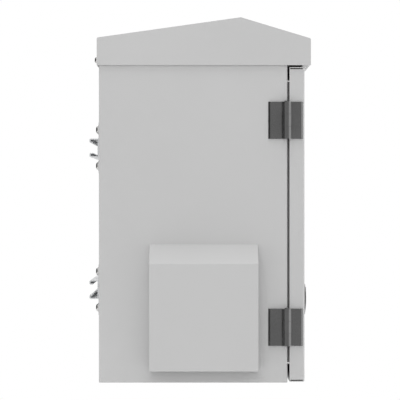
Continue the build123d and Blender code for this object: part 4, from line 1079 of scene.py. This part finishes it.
def card(name, left, right, y, half_height, strength):
    """Studio card across the depth axis that only shows in gloss."""
    material = bpy.data.materials.new(name)
    material.use_nodes = True
    tree = material.node_tree
    glow = add(tree, "ShaderNodeEmission", {}, {"Strength": strength})
    tree.links.new(glow.outputs[0], tree.nodes["Material Output"].inputs["Surface"])
    corners = [
        (left, y, -half_height),
        (right, y, -half_height),
        (right, y, half_height),
        (left, y, half_height),
    ]
    shown = flat_sheet(name, corners, material)
    shown.visible_camera = False
    shown.visible_diffuse = False
    shown.visible_shadow = False
    shown.visible_transmission = False


floor_finish = coat(
    "pale_floor",
    colour=(0.92, 0.92, 0.92),
    rough=(0.9, 1.0),
    cloud_share=0.01,
    cloud_per_metre=1.0,
    grain_per_metre=60.0,
    grain_depth=0.0001,
    edge=0.001,
)
floor_shader = shader_of(floor_finish)
floor_shader.inputs["Specular IOR Level"].default_value = 0.0
floor_tree = floor_finish.node_tree
floor_place = add(floor_tree, "ShaderNodeTexCoord", {}, {}).outputs["Object"]
floor_reach = add(floor_tree, "ShaderNodeVectorMath", {"operation": "LENGTH"}, {0: floor_place})
inputs = {"Value": floor_reach.outputs["Value"], "From Min": floor_fade_start, "From Max": floor_fade_end}
fade = add(floor_tree, "ShaderNodeMapRange", {"interpolation_type": "SMOOTHSTEP"}, inputs).outputs["Result"]
fade_seen = maths(floor_tree, "MULTIPLY", fade, seen_directly(floor_tree))
white = add(floor_tree, "ShaderNodeEmission", {}, {"Strength": 1.0}).outputs[0]
inputs = {0: fade_seen, 1: floor_shader.outputs[0], 2: white}
faded = add(floor_tree, "ShaderNodeMixShader", {}, inputs).outputs[0]
floor_tree.links.new(faded, floor_tree.nodes["Material Output"].inputs["Surface"])
floor_height = cad_low.z - floor_drop
floor_corners = [
    (-floor_half, -floor_half, floor_height),
    (floor_half, -floor_half, floor_height),
    (floor_half, floor_half, floor_height),
    (-floor_half, floor_half, floor_height),
]
flat_sheet("studio_floor", floor_corners, floor_finish)

world = bpy.data.worlds.new("studio")
bpy.context.scene.world = world
world.use_nodes = True
sky = world.node_tree
inputs = {"Value": seen_directly(sky), "To Min": ambient, "To Max": 1.0}
strength = add(sky, "ShaderNodeMapRange", {}, inputs).outputs["Result"]
sky.nodes["Background"].inputs["Color"].default_value = (1, 1, 1, 1)
sky.links.new(strength, sky.nodes["Background"].inputs["Strength"])

middle = (cad_low + cad_high) / 2
lamp("hinge_side_lamp", place=(-5.0, 0.3, 1.2), target=middle, size=2.4, power=42.0)
lamp("front_lamp", place=(0.5, -5.0, 1.5), target=middle, size=2.4, power=48.0)
lamp("far_side_lamp", place=(5.0, -0.8, 1.5), target=middle, size=2.4, power=48.0)
lamp("back_lamp", place=(-0.5, 5.0, 1.5), target=middle, size=2.4, power=48.0)
lamp("top_lamp", place=(-0.6, -0.2, 3.4), target=middle, size=2.0, power=56.0)
card("bright_card", left=-1.4, right=1.4, y=-2.4, half_height=1.4, strength=2.4)
card("dark_card", left=-3.6, right=6.0, y=2.2, half_height=3.0, strength=0.02)

# Camera: square on to the hinge side, between five and six metres off, a little above the cabinet's middle.
# The picture's height is the span of the photograph's frame at the cabinet's near wall.
camera_distance = 5.6
picture_height = 0.876
sensor_width = 36.0
axis_height = 0.400
axis_from_wall = 0.2215
far_limit = 100.0
view_data = bpy.data.cameras.new("camera")
view_data.sensor_width = sensor_width
view_data.lens = sensor_width * camera_distance / picture_height
view_data.clip_end = far_limit
camera = put("camera", view_data)
case_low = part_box("case_wrap")[0]
camera.location = (case_low.x - camera_distance, -axis_from_wall, case_low.z + axis_height)
camera.rotation_mode = "QUATERNION"
camera.rotation_quaternion = Vector((1, 0, 0)).to_track_quat("-Z", "Y")
bpy.context.scene.camera = camera
bpy.context.scene.view_settings.view_transform = "Standard"
